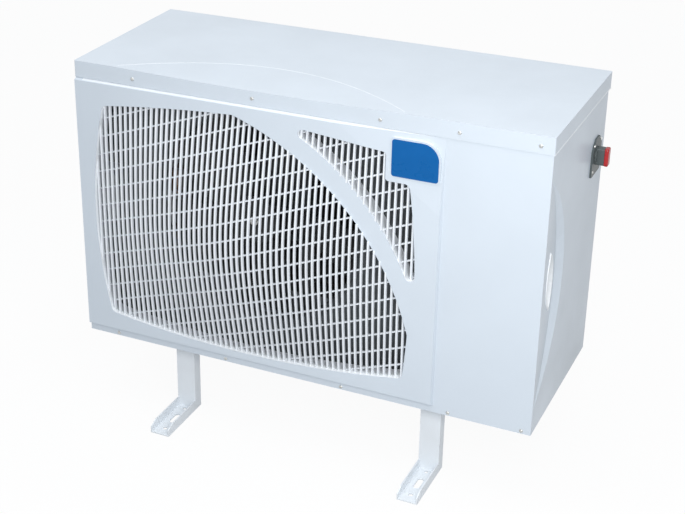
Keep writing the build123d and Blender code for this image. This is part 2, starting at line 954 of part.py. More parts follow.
def blade_corner(share, along, back):
    """Corner of the blade's facets: share runs over the chord, along runs from root to tip."""
    chord = blade_root_chord + (blade_tip_chord - blade_root_chord) * along
    angle = radians(blade_root_angle + (blade_tip_angle - blade_root_angle) * along)
    radius = blade_root_radius + (fan_tip_radius - blade_root_radius) * along
    run = share * chord / 2
    lift = chord * blade_camber * (1 - share**2) + back
    sideways = run * cos(angle) - lift * sin(angle)
    upward = run * sin(angle) + lift * cos(angle)
    outward = sqrt(radius**2 - sideways**2)
    skew = radians(blade_skew) * along
    return Vector(
        outward * cos(skew) - sideways * sin(skew),
        outward * sin(skew) + sideways * cos(skew),
        fan_hub_length / 2 + upward,
    )


def blade_solid():
    """Twisted and cambered blade closed by flat triangles."""
    shares = [2 * i / blade_facets - 1 for i in range(blade_facets + 1)]
    alongs = [i / blade_rows for i in range(blade_rows + 1)]
    front = [[blade_corner(share, along, 0) for share in shares] for along in alongs]
    back = [[blade_corner(share, along, blade_thickness) for share in shares] for along in alongs]
    quads = []
    for row in range(blade_rows):
        for i in range(blade_facets):
            for skin in (front, back):
                quads.append((skin[row][i], skin[row][i + 1], skin[row + 1][i + 1], skin[row + 1][i]))
        for edge in (0, -1):
            quads.append((front[row][edge], front[row + 1][edge], back[row + 1][edge], back[row][edge]))
    for end in (0, -1):
        for i in range(blade_facets):
            quads.append((front[end][i], front[end][i + 1], back[end][i + 1], back[end][i]))
    facets = []
    for a, b, c, d in quads:
        facets.append(Face(Wire.make_polygon([a, b, c])))
        facets.append(Face(Wire.make_polygon([a, c, d])))
    return Solid(Shell(facets))


with BuildPart() as fan_impeller:
    with BuildSketch(fan_plane):
        RegularPolygon(fan_hub_radius, shell_facets)
    extrude(amount=fan_hub_length)
    for index in range(blade_count):
        turned = Location((0, 0, 0), (0, 0, 360 * index / blade_count))
        add(blade_solid().moved(fan_plane.location * turned))
    with BuildSketch(fan_plane.offset(fan_hub_wall)):
        RegularPolygon(fan_hub_radius - fan_hub_wall, shell_facets)
    extrude(amount=fan_hub_length, mode=Mode.SUBTRACT)
    with BuildSketch(fan_plane):
        RegularPolygon(3 * shaft_radius, round_facets)
    extrude(amount=fan_hub_length * 0.6)
    with BuildSketch(fan_plane):
        Circle(shaft_radius + running_clearance)
    extrude(amount=fan_hub_length, both=True, mode=Mode.SUBTRACT)

write_part(fan_impeller.part, "fan_impeller")

motor_front = fan_y + fan_hub_length + 12.0
shaft_front = fan_y - 14.0
shaft_back = motor_front + 60.0
nut_height = 7.0
nut_across = 19.2
nut_bore = shaft_radius + running_clearance

shaft_plane = Plane(origin=(fan_centre[0], 0, fan_centre[1]), x_dir=(1, 0, 0), z_dir=(0, 1, 0))

with BuildPart() as fan_shaft:
    with BuildSketch(shaft_plane.offset(shaft_front)):
        Circle(shaft_radius)
    extrude(amount=shaft_back - shaft_front)

write_part(fan_shaft.part, "fan_shaft")

with BuildPart() as fan_nut:
    with BuildSketch(front_plane(fan_y)):
        with Locations(fan_centre):
            RegularPolygon(nut_across / 2, 6, major_radius=False)
            RegularPolygon(nut_bore, round_facets, major_radius=False, mode=Mode.SUBTRACT)
    extrude(amount=nut_height)

write_part(fan_nut.part, "fan_nut")

bracket_front = motor_front + motor_boss_length

with BuildPart() as fan_motor:
    with BuildSketch(shaft_plane.offset(motor_front)):
        RegularPolygon(motor_boss_radius, shell_facets)
    extrude(amount=motor_boss_length)
    with BuildSketch(shaft_plane.offset(bracket_front + bracket_sheet)):
        RegularPolygon(motor_radius, shell_facets)
    extrude(amount=motor_length)
    with BuildSketch(shaft_plane.offset(bracket_front)):
        RegularPolygon(motor_boss_radius, shell_facets)
    extrude(amount=bracket_sheet)
    with BuildSketch(shaft_plane.offset(bracket_front + bracket_sheet)):
        Rectangle(motor_flange, motor_flange)
    extrude(amount=6)
    chamfer(fan_motor.faces().sort_by(Axis.Y)[-1].edges(), 8)
    with BuildSketch(shaft_plane.offset(motor_front)):
        Circle(shaft_radius + running_clearance)
    extrude(amount=shaft_back - motor_front + 2, mode=Mode.SUBTRACT)

write_part(fan_motor.part, "fan_motor")

rail_top = wall_top

with BuildPart() as motor_bracket:
    with BuildSketch(front_plane(bracket_front + bracket_sheet)):
        with Locations(fan_centre):
            Rectangle(bracket_width, motor_flange + bracket_rail)
            RegularPolygon(motor_boss_radius + seat_gap, shell_facets, mode=Mode.SUBTRACT)
    extrude(amount=bracket_sheet)
    for side in (-1, 1):
        with BuildSketch(Plane.XY.offset(pan_top)):
            centre = fan_centre[0] + side * (bracket_width / 2 + bracket_rail / 2 - bracket_sheet)
            with Locations((centre, bracket_front + bracket_rail / 2)):
                Rectangle(bracket_rail, bracket_rail)
            with Locations((centre + side * bracket_sheet, bracket_front + bracket_rail / 2)):
                Rectangle(bracket_rail, bracket_rail - 2 * bracket_sheet, mode=Mode.SUBTRACT)
    extrude(amount=rail_top - pan_top)

write_part(motor_bracket.part, "motor_bracket")


# Condenser coil: fin plates, two rows of tubes bent back and forth, end plates
with BuildPart() as condenser_fins:
    first_fin = (fins_left + fins_right) / 2 - fin_pitch * (fin_count - 1) / 2
    for index in range(fin_count):
        with BuildSketch(side_plane(first_fin + index * fin_pitch)):
            with Locations((coil_y + coil_depth / 2, (fins_low + fins_high) / 2)):
                Rectangle(coil_depth, fins_high - fins_low)
    extrude(amount=fin_thickness / 2, both=True)

write_part(condenser_fins.part, "condenser_fins")

with BuildPart() as coil_end_plates:
    for x in (fins_left, fins_right):
        with BuildSketch(side_plane(x)):
            with Locations((coil_y + coil_depth / 2, (pan_top + wall_top) / 2)):
                Rectangle(coil_depth, wall_top - pan_top)
    extrude(amount=end_plate / 2, both=True)

write_part(coil_end_plates.part, "coil_end_plates")



def serpentine(y):
    """Centre line of one row of tubes, from the top tube's open end to the bottom one's."""
    points = [(header_x, y, tube_levels[-1])]
    for index in range(tubes_high - 1, 0, -1):
        at_left = (tubes_high - 1 - index) % 2 == 0
        end = fins_left - bend_reach if at_left else fins_right + bend_reach
        out = -bend_depth if at_left else bend_depth
        top = tube_levels[index]
        low = tube_levels[index - 1]
        points.append((end + out / 3, y, top))
        points.append((end + out, y, top - 2 * bend_depth / 3))
        points.append((end + out, y, low + 2 * bend_depth / 3))
        points.append((end + out / 3, y, low))
    points.append((header_x, y, tube_levels[0]))
    with BuildLine() as line:
        Polyline(*points)
    return line.line


with BuildPart() as condenser_tubes:
    for y in tube_rows_y:
        with BuildSketch(side_plane(header_x)):
            with Locations((y, tube_levels[-1])):
                RegularPolygon(tube_radius, tube_facets)
        sweep(path=serpentine(y), transition=Transition.RIGHT)
    for level in (hot_header_z, cold_header_z):
        with BuildSketch(front_plane(tube_rows_y[-1] + header_radius)):
            with Locations((header_x, level)):
                RegularPolygon(header_radius, round_facets)
        extrude(amount=tube_rows_y[-1] - tube_rows_y[0] + 2 * header_radius)

write_part(condenser_tubes.part, "condenser_tubes")


# Compressor: welded shell with ports, foot plate on rubber grommets, terminal cover
shell_bottom = pan_top + grommet_height + foot_plate_thickness
shell_top = shell_bottom + compressor_height
suction_port = (across(suction_valve_x), compressor_centre[1], high(suction_port_z))
suction_port_end = compressor_centre[1] + compressor_radius + 22.0
discharge_port = (compressor_centre[0] - 26.0, compressor_centre[1] - 10.0)
discharge_port_top = shell_top + discharge_port_height
terminal_z = high(180.0)
terminal_size = 62.0
terminal_depth = 26.0
terminal_face = compressor_centre[1] - compressor_radius - 8.0

with BuildPart() as compressor_shell:
    with BuildSketch(Plane.XY.offset(shell_bottom)):
        with Locations(compressor_centre):
            RegularPolygon(compressor_radius, shell_facets)
    extrude(amount=compressor_height)
    chamfer(compressor_shell.faces().sort_by(Axis.Z)[-1].edges(), compressor_round)
    chamfer(compressor_shell.faces().sort_by(Axis.Z)[0].edges(), compressor_round)
    with BuildSketch(front_plane(suction_port_end)):
        with Locations((suction_port[0], suction_port[2])):
            RegularPolygon(suction_radius + pipe_wall, round_facets)
    extrude(amount=suction_port_end - compressor_centre[1])
    with BuildSketch(Plane.XY.offset(discharge_port_top)):
        with Locations(discharge_port):
            RegularPolygon(discharge_radius + pipe_wall, round_facets)
    extrude(amount=-2 * discharge_port_height)
    with BuildSketch(front_plane(terminal_face)):
        with Locations((compressor_centre[0], terminal_z)):
            Rectangle(terminal_size - 8, terminal_size - 8)
    extrude(amount=-compressor_radius / 2)

write_part(compressor_shell.part, "compressor_shell")

with BuildPart() as terminal_cover:
    with BuildSketch(front_plane(terminal_face - seat_gap)):
        with Locations((compressor_centre[0], terminal_z)):
            Rectangle(terminal_size, terminal_size)
    extrude(amount=terminal_depth)
    chamfer(terminal_cover.edges().filter_by(Axis.Y), 6)
    chamfer(terminal_cover.faces().sort_by(Axis.Y)[0].edges(), 3)

write_part(terminal_cover.part, "terminal_cover")

with BuildPart() as compressor_foot_plate:
    with BuildSketch(Plane.XY.offset(pan_top + grommet_height)):
        with Locations(compressor_centre):
            Rectangle(foot_plate, foot_plate)
    extrude(amount=foot_plate_thickness)
    chamfer(compressor_foot_plate.edges().filter_by(Axis.Z), 12)

write_part(compressor_foot_plate.part, "compressor_foot_plate")

with BuildPart() as rubber_grommets:
    with BuildSketch(Plane.XY.offset(pan_top)):
        with Locations(*grommet_places):
            RegularPolygon(grommet_radius, round_facets)
    extrude(amount=grommet_height)

write_part(rubber_grommets.part, "rubber_grommets")


# Receiver with its strap, filter drier and sight glass
receiver_centre = (across(receiver_x), deep(receiver_y))
receiver_low = pan_top + 6.0
receiver_top = receiver_low + receiver_height
receiver_inlet = (receiver_centre[0] - 18.0, receiver_centre[1])
receiver_outlet = (receiver_centre[0] + 18.0, receiver_centre[1])
receiver_port_top = receiver_top + 12.0

with BuildPart() as receiver:
    with BuildSketch(Plane.XY.offset(receiver_low)):
        with Locations(receiver_centre):
            RegularPolygon(receiver_radius, shell_facets)
    extrude(amount=receiver_height)
    chamfer(receiver.faces().sort_by(Axis.Z)[-1].edges(), receiver_round)
    chamfer(receiver.faces().sort_by(Axis.Z)[0].edges(), receiver_round)
    with BuildSketch(Plane.XY.offset(receiver_port_top)):
        with Locations(receiver_inlet, receiver_outlet):
            RegularPolygon(liquid_radius + pipe_wall, round_facets)
    extrude(amount=receiver_top - receiver_port_top - 20)
    with BuildSketch(Plane.XY.offset(pan_top)):
        with Locations(receiver_centre):
            RegularPolygon(receiver_radius * 0.7, round_facets)
            RegularPolygon(receiver_radius * 0.7 - moulding, round_facets, mode=Mode.SUBTRACT)
    extrude(amount=receiver_round)

write_part(receiver.part, "receiver")

strap_z = receiver_low + receiver_height * 0.6

with BuildPart() as receiver_strap:
    with BuildSketch(Plane.XY.offset(strap_z)):
        with Locations(receiver_centre):
            RegularPolygon(receiver_radius + seat_gap + bracket_sheet, shell_facets)
        with Locations(((partition_web + steel + receiver_centre[0]) / 2, receiver_centre[1])):
            Rectangle(receiver_centre[0] - partition_web - steel, receiver_radius)
        with Locations(receiver_centre):
            RegularPolygon(receiver_radius + seat_gap, shell_facets, mode=Mode.SUBTRACT)
    extrude(amount=strap_width)

write_part(receiver_strap.part, "receiver_strap")

drier_place = (across(liquid_valve_x), deep(drier_y))
drier_bottom = high(drier_z)
drier_top = drier_bottom + drier_length
drier_neck = 8.0
drier_cone = 14.0

with BuildPart() as filter_drier:
    with BuildSketch(Plane.XY.offset(drier_bottom)):
        with Locations(drier_place):
            RegularPolygon(liquid_radius + pipe_wall, round_facets)
    extrude(amount=drier_length)
    with BuildSketch(Plane.XY.offset(drier_bottom + drier_neck)):
        with Locations(drier_place):
            RegularPolygon(drier_radius, round_facets)
    extrude(amount=drier_length - 2 * drier_neck)
    for body_end in (1, -2):
        rim = filter_drier.faces().filter_by(Axis.Z).sort_by(Axis.Z)[body_end]
        chamfer(rim.outer_wire().edges(), drier_cone)

write_part(filter_drier.part, "filter_drier")

glass_bottom = drier_bottom - glass_length

with BuildPart() as sight_glass:
    with BuildSketch(Plane.XY.offset(glass_bottom)):
        with Locations(drier_place):
            RegularPolygon(glass_across / 2, 6, major_radius=False)
    extrude(amount=glass_length)
    with BuildSketch(front_plane(drier_place[1])):
        with Locations((drier_place[0], glass_bottom + glass_length / 2)):
            RegularPolygon(glass_across * 0.42, round_facets)
    extrude(amount=glass_across / 2 + 4)

write_part(sight_glass.part, "sight_glass")


# Service valves: body, spindle and cap
def valve_body(x, y, z, size, port_radius):
    """Block with a rear stub to solder to, and a threaded neck on top for the spindle."""
    top = z + size * 0.65
    with BuildPart() as body:
        with BuildSketch(Plane.XY.offset(z - size * 0.65)):
            with Locations((x, y)):
                Rectangle(size, size)
        extrude(amount=size * 1.3)
        with BuildSketch(Plane.XY.offset(top)):
            with Locations((x, y)):
                RegularPolygon(spindle_radius + neck_wall, round_facets)
        extrude(amount=valve_neck_height)
        with BuildSketch(front_plane(stub_end)):
            with Locations((x, z)):
                RegularPolygon(port_radius + pipe_wall + seat_gap, shell_facets)
        extrude(amount=stub_end - y)
        with BuildSketch(Plane.XY.offset(top + valve_neck_height)):
            with Locations((x, y)):
                Circle(spindle_radius + running_clearance)
        extrude(amount=-valve_neck_height - size * 0.5, mode=Mode.SUBTRACT)
        with BuildSketch(front_plane(stub_end)):
            with Locations((x, z)):
                Circle(port_radius)
        extrude(amount=stub_end - y - size / 2 - 2, mode=Mode.SUBTRACT)
    return body.part


def valve_spindle(x, y, z, size):
    """Round spindle in the neck with a square end for the key."""
    top = z + size * 0.65
    with BuildPart() as spindle:
        with BuildSketch(Plane.XY.offset(top - size * 0.5 + 1)):
            with Locations((x, y)):
                Circle(spindle_radius)
        extrude(amount=valve_neck_height + size * 0.5 - 1)
        with BuildSketch(Plane.XY.offset(top + valve_neck_height)):
            with Locations((x, y)):
                Rectangle(1.3 * spindle_radius, 1.3 * spindle_radius)
        extrude(amount=valve_cap_height - valve_neck_height - 4 * valve_cap_wall)
    return spindle.part


def valve_cap(x, y, z, size):
    """Hexagon cap that screws over the neck."""
    top = z + size * 0.65
    inner = spindle_radius + neck_wall + seat_gap
    with BuildPart() as cap:
        with BuildSketch(Plane.XY.offset(top)):
            with Locations((x, y)):
                RegularPolygon(inner + valve_cap_wall, 6, major_radius=False)
        extrude(amount=valve_cap_height)
        with BuildSketch(Plane.XY.offset(top)):
            with Locations((x, y)):
                RegularPolygon(inner, round_facets)
        extrude(amount=valve_cap_height - valve_cap_wall, mode=Mode.SUBTRACT)
    return cap.part


valve_line = deep(valve_y)
stub_end = cover_rear - stub_end_inset
valves = (
    ("suction_valve", suction_stub_place, suction_valve_size, suction_radius),
    ("liquid_valve", liquid_stub_place, liquid_valve_size, liquid_radius),
)
for valve_name, place, size, radius in valves:
    write_part(valve_body(place[0], valve_line, place[1], size, radius), valve_name)
    write_part(valve_spindle(place[0], valve_line, place[1], size), valve_name + "_spindle")
    write_part(valve_cap(place[0], valve_line, place[1], size), valve_name + "_cap")


# Pipes: straight runs whose corners are eased by a short slanted piece
def make_pipe(points, bend, radius):
    eased = [Vector(*points[0])]
    for before, corner, after in zip(points, points[1:], points[2:]):
        for neighbour in (before, after):
            toward = Vector(*neighbour) - Vector(*corner)
            eased.append(Vector(*corner) + toward.normalized() * bend)
    eased.append(Vector(*points[-1]))
    with BuildPart() as pipe:
        with BuildLine() as line:
            Polyline(*eased)
        with BuildSketch(Plane(origin=eased[0], z_dir=eased[1] - eased[0])):
            RegularPolygon(radius, pipe_facets)
        sweep(path=line.line, transition=Transition.RIGHT)
    return pipe.part


suction_valve_front = valve_line - suction_valve_size / 2
suction_turn_y = (suction_port_end + suction_valve_front) / 2
write_part(
    make_pipe(
        [
            (suction_port[0], suction_port_end, suction_port[2]),
            (suction_port[0], suction_turn_y, suction_port[2]),
            (suction_port[0], suction_turn_y, suction_stub_place[1]),
            (suction_port[0], suction_valve_front, suction_stub_place[1]),
        ],
        24.0,
        suction_radius,
    ),
    "suction_pipe",
)

write_part(
    make_pipe(
        [
            (*discharge_port, discharge_port_top),
            (*discharge_port, hot_pipe_z),
            (discharge_port[0], hot_pipe_y, hot_pipe_z),
            (header_x, hot_pipe_y, hot_pipe_z),
            (header_x, hot_pipe_y, hot_header_z),
            (header_x, tube_rows_y[0] - header_radius, hot_header_z),
        ],
        20.0,
        discharge_radius,
    ),
    "discharge_pipe",
)

riser_x = partition_web + 17.0
receiver_loop_z = receiver_port_top + 40.0
write_part(
    make_pipe(
        [
            (header_x, tube_rows_y[0] - header_radius, cold_header_z),
            (header_x, cold_pipe_y, cold_pipe_z),
            (riser_x, cold_pipe_y, cold_pipe_z),
            (riser_x, cold_pipe_y, receiver_loop_z),
            (*receiver_inlet, receiver_loop_z),
            (*receiver_inlet, receiver_port_top),
        ],
        9.0,
        liquid_radius,
    ),
    "condensate_pipe",
)

write_part(
    make_pipe(
        [
            (*receiver_outlet, receiver_port_top),
            (*receiver_outlet, receiver_loop_z + 20),
            (*drier_place, receiver_loop_z + 20),
            (*drier_place, drier_top),
        ],
        14.0,
        liquid_radius,
    ),
    "liquid_pipe_drier",
)

liquid_valve_front = valve_line - liquid_valve_size / 2
liquid_turn_y = liquid_valve_front - 36.0
write_part(
    make_pipe(
        [
            (*drier_place, glass_bottom),
            (*drier_place, glass_bottom - 22),
            (drier_place[0], liquid_turn_y, glass_bottom - 22),
            (drier_place[0], liquid_turn_y, liquid_stub_place[1]),
            (drier_place[0], liquid_valve_front, liquid_stub_place[1]),
        ],
        14.0,
        liquid_radius,
    ),
    "liquid_pipe_valve",
)


# Pressure switch with its reset button
switch_depth = 38.0
switch_width = 52.0
switch_height = 84.0
switch_left = partition_web + steel
switch_y = panel_edge + pressure_switch_y + switch_width / 2
switch_z = high(pressure_switch_z) + switch_height / 2
reset_place = (switch_y, switch_z + switch_height * 0.28)
reset_bore = 12.0
reset_stand = 6.0

with BuildPart() as pressure_switch:
    with BuildSketch(side_plane(switch_left)):
        with Locations((switch_y, switch_z)):
            Rectangle(switch_width, switch_height)
    extrude(amount=switch_depth)
    with BuildSketch(side_plane(switch_left + switch_depth)):
        with Locations(reset_place):
            RegularPolygon(reset_radius + seat_gap, round_facets)
    extrude(amount=-reset_bore, mode=Mode.SUBTRACT)

write_part(pressure_switch.part, "pressure_switch")

with BuildPart() as reset_button:
    with BuildSketch(side_plane(switch_left + switch_depth - reset_bore + reset_travel + seat_gap)):
        with Locations(reset_place):
            RegularPolygon(reset_radius, round_facets)
    extrude(amount=reset_bore + reset_stand - reset_travel)

write_part(reset_button.part, "reset_button")


# Control box with its cover and the isolator's switch
box_left = partition_web + steel
box_right = side_inner - 2.0
box_low = high(control_bottom)
box_high = high(control_top)
box_front = deep(control_front)
box_back = deep(control_back)

with BuildPart() as control_box:
    with BuildSketch(front_plane(box_back)):
        with Locations(((box_left + box_right) / 2, (box_low + box_high) / 2)):
            Rectangle(box_right - box_left, box_high - box_low)
    extrude(amount=box_back - box_front)
    with BuildSketch(front_plane(box_back - control_sheet)):
        with Locations(((box_left + box_right) / 2, (box_low + box_high) / 2)):
            Rectangle(box_right - box_left - 2 * control_sheet, box_high - box_low - 2 * control_sheet)
    extrude(amount=box_back - box_front, mode=Mode.SUBTRACT)
    with BuildSketch(side_plane(box_right)):
        with Locations(isolator_place):
            RegularPolygon(knob_hole_radius, round_facets)
    extrude(amount=2 * control_sheet, both=True, mode=Mode.SUBTRACT)
    with BuildSketch(front_plane(box_back)):
        with Locations(gland_place):
            RegularPolygon(gland_hole + 1, round_facets)
    extrude(amount=2 * control_sheet, both=True, mode=Mode.SUBTRACT)

write_part(control_box.part, "control_box")

with BuildPart() as control_box_cover:
    with BuildSketch(front_plane(box_front)):
        with Locations(((box_left + box_right) / 2, (box_low + box_high) / 2)):
            Rectangle(box_right - box_left, box_high - box_low)
    extrude(amount=control_sheet)
    with BuildSketch(front_plane(box_front)):
        with Locations(((box_left + box_right) / 2, (box_low + box_high) / 2)):
            Rectangle(
                box_right - box_left - 2 * control_sheet - 2 * seat_gap,
                box_high - box_low - 2 * control_sheet - 2 * seat_gap,
            )
            Rectangle(
                box_right - box_left - 4 * control_sheet - 2 * seat_gap,
                box_high - box_low - 4 * control_sheet - 2 * seat_gap,
                mode=Mode.SUBTRACT,
            )
    extrude(amount=-12)

write_part(control_box_cover.part, "control_box_cover")

switch_face = box_right - control_sheet
switch_size = 46.0
knob_bore = 30.0

with BuildPart() as isolator_switch:
    with BuildSketch(side_plane(switch_face)):
        with Locations(isolator_place):
            Rectangle(switch_size, switch_size)
    extrude(amount=-switch_length)
    with BuildSketch(side_plane(switch_face)):
        with Locations(isolator_place):
            Circle(knob_shaft_radius + running_clearance)
    extrude(amount=-knob_bore, mode=Mode.SUBTRACT)

write_part(isolator_switch.part, "isolator_switch")

with BuildPart() as isolator_plate:
    with BuildSketch(side_plane(side_x)) as plate_outline:
        with Locations(isolator_place):
            Rectangle(isolator_width, isolator_height)
        chamfer(plate_outline.vertices().group_by(Axis.Y)[-1], isolator_chamfer)
        fillet(plate_outline.vertices().group_by(Axis.Y)[0], 4)
        with Locations(isolator_place):
            Circle(knob_shaft_radius + running_clearance, mode=Mode.SUBTRACT)
    extrude(amount=isolator_plate_thickness)

write_part(isolator_plate.part, "isolator_plate")

knob_base = side_x + isolator_plate_thickness + seat_gap

with BuildPart() as isolator_knob:
    with BuildSketch(side_plane(knob_base)):
        with Locations(isolator_place):
            RegularPolygon(knob_dial_radius, shell_facets)
    extrude(amount=knob_dial_height)
    with BuildSketch(side_plane(knob_base + knob_dial_height)):
        with Locations(isolator_place):
            Rectangle(knob_width, knob_height)
    extrude(amount=knob_length - knob_dial_height - knob_cap)
    with BuildSketch(side_plane(switch_face - knob_bore + 2)):
        with Locations(isolator_place):
            Circle(knob_shaft_radius)
    extrude(amount=knob_base - switch_face + knob_bore - 2)

write_part(isolator_knob.part, "isolator_knob")

with BuildPart() as isolator_knob_cap:
    with BuildSketch(side_plane(knob_base + knob_length - knob_cap)):
        with Locations(isolator_place):
            Rectangle(knob_width, knob_height)
    extrude(amount=knob_cap)
    outer_face = isolator_knob_cap.faces().sort_by(Axis.X)[-1]
    chamfer(outer_face.edges().filter_by(Axis.Y), knob_cap * 0.9, knob_chamfer * 0.5)

write_part(isolator_knob_cap.part, "isolator_knob_cap")
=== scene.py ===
import json
import math

import bmesh
import bpy
from mathutils import Matrix, Vector


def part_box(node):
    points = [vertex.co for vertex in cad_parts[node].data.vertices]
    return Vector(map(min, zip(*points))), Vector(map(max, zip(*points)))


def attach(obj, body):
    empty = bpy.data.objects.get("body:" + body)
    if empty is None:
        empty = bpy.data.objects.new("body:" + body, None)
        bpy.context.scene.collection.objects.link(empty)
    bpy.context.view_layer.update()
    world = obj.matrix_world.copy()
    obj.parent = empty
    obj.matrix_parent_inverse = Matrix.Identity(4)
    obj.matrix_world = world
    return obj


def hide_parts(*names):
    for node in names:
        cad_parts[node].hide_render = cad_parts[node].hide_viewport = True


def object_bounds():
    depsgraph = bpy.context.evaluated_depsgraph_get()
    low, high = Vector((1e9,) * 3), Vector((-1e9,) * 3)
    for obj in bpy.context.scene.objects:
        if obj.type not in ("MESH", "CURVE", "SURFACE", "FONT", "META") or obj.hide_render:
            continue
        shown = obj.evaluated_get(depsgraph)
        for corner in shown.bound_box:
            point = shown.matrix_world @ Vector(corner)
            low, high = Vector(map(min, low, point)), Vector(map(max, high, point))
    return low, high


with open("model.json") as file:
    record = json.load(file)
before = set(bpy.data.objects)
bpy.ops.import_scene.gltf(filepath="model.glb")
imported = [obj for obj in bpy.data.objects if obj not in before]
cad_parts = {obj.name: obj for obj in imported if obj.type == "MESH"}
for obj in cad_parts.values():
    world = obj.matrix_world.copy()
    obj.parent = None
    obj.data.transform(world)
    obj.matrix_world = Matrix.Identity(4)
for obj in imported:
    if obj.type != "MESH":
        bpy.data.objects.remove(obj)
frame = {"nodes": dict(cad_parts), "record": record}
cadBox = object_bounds()
nodes = frame["nodes"]
print("frame loaded:", len(nodes), "nodes")


class Wire:
    # one output socket, so that maths on it can be written as an expression
    def __init__(self, tree, socket):
        self.tree = tree
        self.socket = socket

    def maths(self, operation, first, second, clamp=False):
        made = self.tree.nodes.new("ShaderNodeMath")
        made.operation = operation
        made.use_clamp = clamp
        for slot, value in enumerate((first, second)):
            if isinstance(value, Wire):
                self.tree.links.new(value.socket, made.inputs[slot])
            else:
                made.inputs[slot].default_value = value
        return Wire(self.tree, made.outputs[0])

    def __add__(self, other):
        return self.maths("ADD", self, other)

    def __radd__(self, other):
        return self.maths("ADD", other, self)

    def __sub__(self, other):
        return self.maths("SUBTRACT", self, other)

    def __rsub__(self, other):
        return self.maths("SUBTRACT", other, self)

    def __mul__(self, other):
        return self.maths("MULTIPLY", self, other)

    def __rmul__(self, other):
        return self.maths("MULTIPLY", other, self)

    def __truediv__(self, other):
        return self.maths("DIVIDE", self, other)

    def __rtruediv__(self, other):
        return self.maths("DIVIDE", other, self)

    def held(self):
        return self.maths("ADD", self, 0.0, clamp=True)


class Shading:
    # a node tree, with one method that adds a node of any type
    def __init__(self, tree):
        self.tree = tree

    def node(self, kind, settings=None, inputs=None, output=0):
        made = self.tree.nodes.new(kind)
        for key, value in (settings or {}).items():
            setattr(made, key, value)
        for key, value in (inputs or {}).items():
            if isinstance(value, Wire):
                self.tree.links.new(value.socket, made.inputs[key])
            else:
                made.inputs[key].default_value = value
        return Wire(self.tree, made.outputs[output])

    def backdropRays(self):
        # 1 for what the camera sees directly, in gloss or through glass
        seen = [
            self.node("ShaderNodeLightPath", output=name)
            for name in ("Is Camera Ray", "Is Glossy Ray", "Is Transmission Ray")
        ]
        return (seen[0] + seen[1] + seen[2]).held()

    def surface(self, output, share, first, second):
        mixed = self.node("ShaderNodeMixShader", {}, {0: share, 1: first, 2: second})
        self.tree.links.new(mixed.socket, self.tree.nodes[output].inputs["Surface"])


class Finish(Shading):
    def __init__(self, name, color, roughness, metallic=0.0, coat=0.0, coatRoughness=0.12):
        self.material = bpy.data.materials.new(name)
        self.material.use_nodes = True
        super().__init__(self.material.node_tree)
        self.shader = self.tree.nodes["Principled BSDF"]
        self.shader.inputs["Base Color"].default_value = (*color, 1)
        self.shader.inputs["Roughness"].default_value = roughness
        self.shader.inputs["Metallic"].default_value = metallic
        self.shader.inputs["Coat Weight"].default_value = coat
        self.shader.inputs["Coat Roughness"].default_value = coatRoughness
        self.place = self.node("ShaderNodeTexCoord", output="Object")

    def feed(self, socket, wire):
        self.tree.links.new(wire.socket, self.shader.inputs[socket])

    def noise(self, size, detail=3.0, stretch=(1, 1, 1), roughness=0.55):
        # cloudy pattern whose blotches are about size metres across
        moved = self.node("ShaderNodeMapping", {}, {"Vector": self.place, "Scale": stretch})
        return self.node(
            "ShaderNodeTexNoise",
            {},
            {"Vector": moved, "Scale": 1 / size, "Detail": detail, "Roughness": roughness},
        )

    def along(self, axis, vector=None):
        return self.node("ShaderNodeSeparateXYZ", {}, {"Vector": vector or self.place}, axis)

    def between(self, value, low, high):
        # 0 below low, 1 above high, straight in between
        return ((value - low) / (high - low)).held()

    def blend(self, share, first, second):
        first, second = (c if isinstance(c, Wire) else (*c, 1) for c in (first, second))
        colorIn = {0: share, 6: first, 7: second}
        return self.node("ShaderNodeMix", {"data_type": "RGBA"}, colorIn, output=2)

    def bump(self, height, distance):
        raised = self.node("ShaderNodeBump", {}, {"Height": height, "Distance": distance})
        self.feed("Normal", raised)


# powder coat; sizes of its patterns in metres, and pairs are where a pattern starts and is full
powder = {
    "coat": 0.08,
    "cloudSize": 0.16,
    "speckSize": 0.012,
    "peelSize": 0.0016,
    "speckRise": 0.3,
    "worn": 0.9,
    "wornSpan": (0.3, 0.7),
    "wornShare": 0.35,
    "panelWornShare": 0.3,
    "unevenGloss": 0.12,
    "panelRise": 0.0001,
}
dirt = {
    "color": (0.42, 0.41, 0.38),
    "heights": (0.16, 0.42),
    "span": (0.35, 0.75),
    "low": 0.5,
    "all": 0.12,
    "dull": 0.35,
}


def wornColor(color):
    return tuple(c * powder["worn"] for c in color)


def paintFinish(name, color, roughness, dust, peel=0.00012):
    # powder coat: fine orange peel, faint unevenness, and dust that gathers low down
    made = Finish(name, color, roughness, coat=powder["coat"])
    cloud = made.noise(powder["cloudSize"], 3)
    speck = made.noise(powder["speckSize"], 2)
    low = 1 - made.between(made.along("Z"), *dirt["heights"])
    dusty = (low * dirt["low"] + dirt["all"]) * made.between(cloud, *dirt["span"]) * dust
    wear = made.between(cloud, *powder["wornSpan"]) * powder["wornShare"]
    tinted = made.blend(wear, color, wornColor(color))
    made.feed("Base Color", made.blend(dusty, tinted, dirt["color"]))
    uneven = roughness + (cloud - 0.5) * powder["unevenGloss"]
    made.feed("Roughness", (uneven + dusty * dirt["dull"]).held())
    made.bump(made.noise(powder["peelSize"], 1) + speck * powder["speckRise"], peel)
    return made.material


# where the front moulding's window walls lie, from one bound to where the white is full; that
# white is partly the grille's own white rim and partly painted light on walls that lie in shade
litWallBounds = {
    "behind": (-0.2236, -0.2230),
    "left": (-0.530, -0.528),
    "right": (0.300, 0.302),
    "facing": (0.15, 0.35),
}


